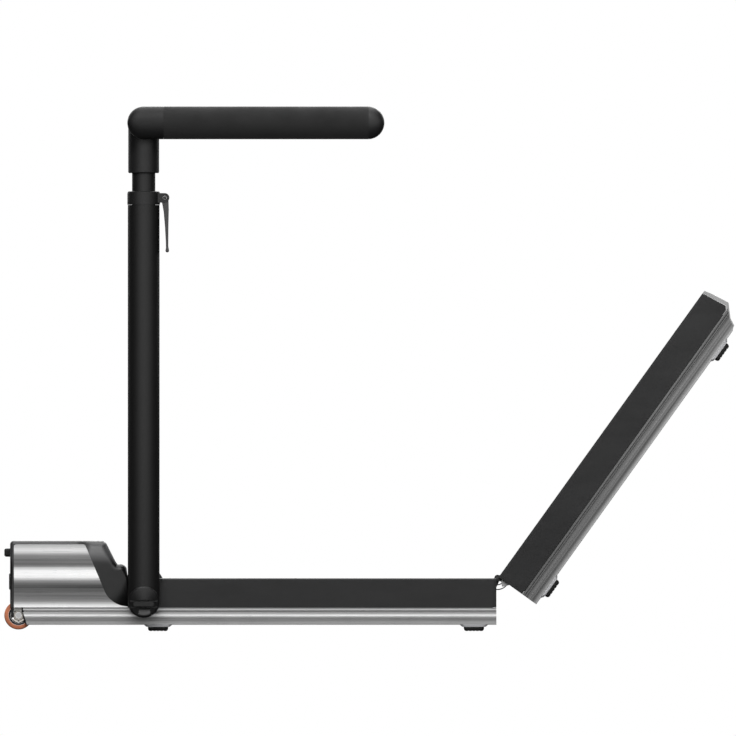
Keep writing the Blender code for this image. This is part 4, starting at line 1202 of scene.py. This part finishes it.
def collar(side, sign, place, pivot):
    """Clamp collar: a split ring with two ears that hold the lever's pin."""
    middle = sign * POST_MIDDLE
    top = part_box("clamp_collar_" + side)[1].z - pivot.z
    bottom = POST_HIGH.z - pivot.z + 0.0003
    rings = raised(lambda grow: oval((0.0, middle), POST_WIDTH + grow, POST_DEPTH + min(grow, 0.0)),
                   ((bottom, 0.0010), (bottom + 0.0006, 0.002), (top - 0.0040, 0.002), (top - 0.0010, 0.0002),
                    (top, -0.0030)))
    axis = joint_at(side + "_lever_open") - pivot
    ear = [(axis.x - 0.0130, axis.z - 0.0085), (axis.x - 0.0010, axis.z - 0.0085)]
    ear += arc((axis.x, axis.z), 0.0078, -75, 90, 14) + [(axis.x - 0.0130, axis.z + 0.0080)]
    ears = [extrusion(ear, "Y", middle + low, middle + low + 0.0037) for low in (-0.0090, 0.0053)]
    bore = extrusion(oval((0.0, middle), NECK_WIDTH + 0.0010, NECK_DEPTH + 0.0010), "Z", 0.60, 0.75)
    split = block((axis.x - 0.030, middle - 0.0008, bottom - 0.001), (axis.x - 0.0100, middle + 0.0008, 0.75))
    pin_hole = rod(middle - 0.02, middle + 0.02, 0.0033, (axis.x, axis.z), 32)
    add("collar_" + side, loft(rings), BLACK, side + "_post", "black_plastic", ["clamp_collar_" + side],
        place=place, joins=ears, cuts=[bore, split, pin_hole], bevel=0.0005)


def lever(side):
    """Quick-release lever: cam, waisted blade that hangs beside the post, a bulb at its tip, and its pin."""
    place = Matrix.Translation(joint_at(side + "_lever_open"))
    outline = arc((0.0, 0.0), 0.0064, -8, 172, 16)
    outline += [(-0.0056, -0.0058), (-0.0040, -0.0120), (-0.0018, -0.0250), (0.0004, -0.0500),
                (0.0018, -0.0760), (0.0020, -0.0850)]
    outline += arc((0.0042, -0.0905), 0.0031, 150, 370, 12)
    outline += [(0.0060, -0.0830), (0.0062, -0.0500), (0.0068, -0.0200)]
    pin_hole = rod(-0.0093, 0.0093, 0.0031, segments=32)
    pin = rod(-0.0092, 0.0092, 0.0029, segments=32)
    add("lever_" + side, extrusion(outline, "Y", -0.0050, 0.0050), SATIN_BLACK, side + "_lever",
        "black_plastic", ["clamp_lever_" + side], place=place, cuts=[pin_hole], bevel=0.0011, segments=4,
        angle=40)
    add("lever_pin_" + side, pin, PIN_STEEL, side + "_lever", "black_plastic", place=place, bevel=0.0003)


def stem(side, sign, place, elbow):
    """Telescoping neck and the head on top of it, with the pin that the arm turns on."""
    middle = sign * POST_MIDDLE
    body = side + "_stem"
    bottom = HEAD_BOTTOM - elbow.z
    neck = oval((0.0, middle), NECK_WIDTH, NECK_DEPTH, 80)
    neck = extrusion(neck, "Z", STEM_LOW.z - elbow.z, bottom + 0.004)
    add("neck_" + side, neck, POST_BLACK, body, "black_paint", ["stem_" + side], place=place, bevel=0.0006,
        angle=60)
    rings = raised(lambda grow: oval((0.0, middle), POST_WIDTH - 0.001 + grow, POST_DEPTH + grow - 0.0002),
                   ((bottom, -0.0030), (bottom + 0.0008, -0.0012), (bottom + 0.0024, 0.0), (0.002, 0.0)))
    inner, outer = POST_MIDDLE - POST_DEPTH / 2, POST_MIDDLE + POST_DEPTH / 2
    low, high = across(sign, inner, outer)
    radius = POST_WIDTH / 2 - 0.0005
    shoulder = ((0.0002, 0.0040), (0.0014, 0.0012), (0.0040, 0.0))
    drum = [(low + inset, radius - drop) for inset, drop in shoulder]
    drum += [(high - inset, radius - drop) for inset, drop in reversed(shoulder)]
    pin = rod(sign * 0.3150, sign * 0.3450, 0.0078)
    low, high = across(sign, inner - 0.001, inner + 0.0009)
    dish = rod(low, high, 0.0150, segments=48)
    add("head_" + side, loft(rings), BLACK, body, "black_plastic", place=place,
        joins=[turned(drum, segments=72), pin], cuts=[dish], bevel=0.0004, angle=50)


def handle_arm(side, sign, place):
    """Arm that swings on the head: plastic hub, foam sleeve and plastic tip."""
    width = across(sign, ARM_LOW.y, ARM_HIGH.y)
    hole = rod(sign * 0.31, sign * 0.3454, 0.0081)
    start, end = 0.0340, ARM_REACH + 0.0010
    body = side + "_arm"
    hub = arm_end(-1, width, start - 0.0001, 0.0)
    add("arm_hub_" + side, hub, ARM_HUB_PAINTED_SHADE_BLACK, body, "black_plastic", place=place, cuts=[hole])
    grip = add("arm_grip_" + side, arm_sleeve(width, start, end), FOAM, body, "grip_foam",
               ["handle_arm_" + side], place=place)
    tip = arm_end(1, width, end + 0.0001, ARM_REACH)
    add("arm_tip_" + side, tip, BLACK, body, "black_plastic", place=place)


def arm_section(x, width, height=ARM_RADIUS, share=1.0):
    """A superellipse across the arm: flat-sided but well rounded above and below."""
    middle, half = sum(width) / 2, share * (width[1] - width[0]) / 2
    points = []
    for c, s in circle(48):
        points.append((x, middle + half * math.copysign(abs(c) ** 0.85, c),
                       height * math.copysign(abs(s) ** 0.95, s)))
    return points


def arm_sleeve(width, start, end):
    """The foam sleeve, rolled in slightly at both ends."""
    rolled, roll = 0.996, 0.0006
    places = [(start, rolled), (start + roll, 1.0)]
    places += [(start + (end - start) * i / 12, 1.0) for i in range(1, 12)]
    places += [(end - roll, 1.0), (end, rolled)]
    return loft([arm_section(x, width, ARM_RADIUS * share, share) for x, share in places])


def arm_end(away, width, edge, centre):
    """Rounded end of the arm: its section shrinks along a half circle about the centre."""
    rings = [arm_section(x, width, ARM_RADIUS * share, share)
             for x, share in ((edge - away * 0.004, 0.90), (edge, 0.93), (edge, 0.996))]
    rings.append(arm_section(edge + away * 0.0012, width))
    for step in range(17):
        turn = math.radians(90 * step / 17)
        x = centre + away * ARM_RADIUS * math.sin(turn)
        if away * (x - edge) >= 0.002:
            share = 1.0 - 0.55 * (1 - math.cos(turn)) ** 1.3
            rings.append(arm_section(x, width, ARM_RADIUS * math.cos(turn), share))
    rings.append(arm_section(centre + away * ARM_RADIUS, width, 0.0012, 0.40))
    return loft(rings)


def handrail(side, sign):
    pivot = joint_at(side + "_post_fold")
    place = on_middle(pivot)
    bracket(side, sign, place)
    post_tube(side, sign, place, POST_HIGH.z - pivot.z)
    knob(side, sign, place)
    collar(side, sign, place, pivot)
    lever(side)
    elbow = joint_at(side + "_arm_swing")
    place = on_middle(elbow)
    stem(side, sign, place, elbow)
    handle_arm(side, sign, place)


for side, sign in SIDES:
    handrail(side, sign)


# ---------------------------------------------------------------- floor, light and camera
# the surround's strength in front and behind, at the two ends, and its share from below
WORLD_FRONT = 2.2
WORLD_SIDE = 0.02
WORLD_BELOW = 0.03
FLOOR_RADIUS = 5.0
# metres across the picture, and how far its middle lies from the object's
VIEW_WIDTH = 1.2582
VIEW_SHIFT = (-0.0021, 0.0014)


def floor():
    """Round pale floor that fades out at its rim."""
    bm = bmesh.new()
    bmesh.ops.create_circle(bm, cap_ends=True, segments=128, radius=FLOOR_RADIUS)
    mesh = mesh_from("studio_floor", bm)
    look = Surface("floor_paper", specular=0.1)
    tone = look.noise(2.0, 2.0)
    colour = look.mix(look.spread(tone, 0.0, 1.0), (0.93, 0.93, 0.93, 1), (0.95, 0.95, 0.95, 1))
    seen = look.add("LightPath").outputs["Is Camera Ray"]
    colour = look.mix(seen, (0.07, 0.07, 0.07, 1), colour)
    distance = look.add("VectorMath", {0: look.where}, operation="LENGTH").outputs["Value"]
    fade = look.spread(distance, 1.0, 0.0, FLOOR_RADIUS * 0.35, FLOOR_RADIUS * 0.98)
    look.tree.links.new(fade, look.shader.inputs["Alpha"])
    mesh.materials.append(look.finish(colour, 0.9))
    thing = linked("studio_floor", mesh)
    thing.location = (0, 0, -0.0002)


def light(name, place, aim, size, power):
    data = bpy.data.lights.new(name, "AREA")
    data.shape = "RECTANGLE"
    data.size, data.size_y = size
    data.energy = power
    lamp = linked(name, data)
    lamp.location = place
    lamp.rotation_euler = (Vector(aim) - Vector(place)).to_track_quat("-Z", "Y").to_euler()


def studio():
    """White surround: full white behind the object, softer and shaped by direction as a light."""
    world = bpy.data.worlds.new("studio")
    bpy.context.scene.world = world
    world.use_nodes = True
    net = Nodes(world.node_tree)
    white = (1, 1, 1, 1)
    seen = net.tree.nodes["Background"]
    net.fill(seen, {"Color": white, "Strength": 1.0})
    way = net.add("SeparateXYZ", {0: net.add("TexCoord").outputs["Generated"]}).outputs
    soft = {"interpolation_type": "SMOOTHSTEP"}
    sideways = net.spread(net.math("ABSOLUTE", way["X"]), WORLD_FRONT, WORLD_SIDE, 0.10, 0.65, **soft)
    below = net.spread(way["Z"], WORLD_BELOW, 1.0, -0.40, 0.02, **soft)
    lighting = net.add("Background", {"Color": white, "Strength": net.math("MULTIPLY", sideways, below)})
    camera_ray = net.add("LightPath").outputs["Is Camera Ray"]
    choice = net.add("MixShader", {0: camera_ray, 1: lighting.outputs[0], 2: seen.outputs[0]})
    net.tree.links.new(choice.outputs[0], net.tree.nodes["World Output"].inputs["Surface"])
    bpy.context.scene.view_settings.view_transform = "Standard"


def camera():
    """Level view of the walker's left side, without perspective, as the near side hides the far one."""
    data = bpy.data.cameras.new("camera")
    data.type = "ORTHO"
    data.ortho_scale = VIEW_WIDTH
    data.clip_start, data.clip_end = 0.1, 100.0
    view = linked("camera", data)
    view.location = ((CAD_LOW.x + CAD_HIGH.x) / 2 + VIEW_SHIFT[0], -6.0, CAD_HIGH.z / 2 + VIEW_SHIFT[1])
    view.rotation_euler = (math.radians(90), 0, 0)
    bpy.context.scene.camera = view


floor()
studio()
camera()
light("key", (-1.0, -3.5, 3.0), (0, 0, 0.4), (2.0, 2.0), 70)
light("fill", (1.5, -3.5, 1.6), (0, 0, 0.4), (2.0, 2.0), 15)
light("back", (0.5, 3.5, 2.6), (0, 0, 0.4), (3.0, 1.5), 40)
light("top", (0, 0, 4.0), (0, 0, 0), (3.0, 3.0), 60)
for end in (-1, 1):
    light("end_%d" % end, (3.2 * end, 1.6, 1.7), (0, 0, 0.4), (2.0, 2.0), 22)
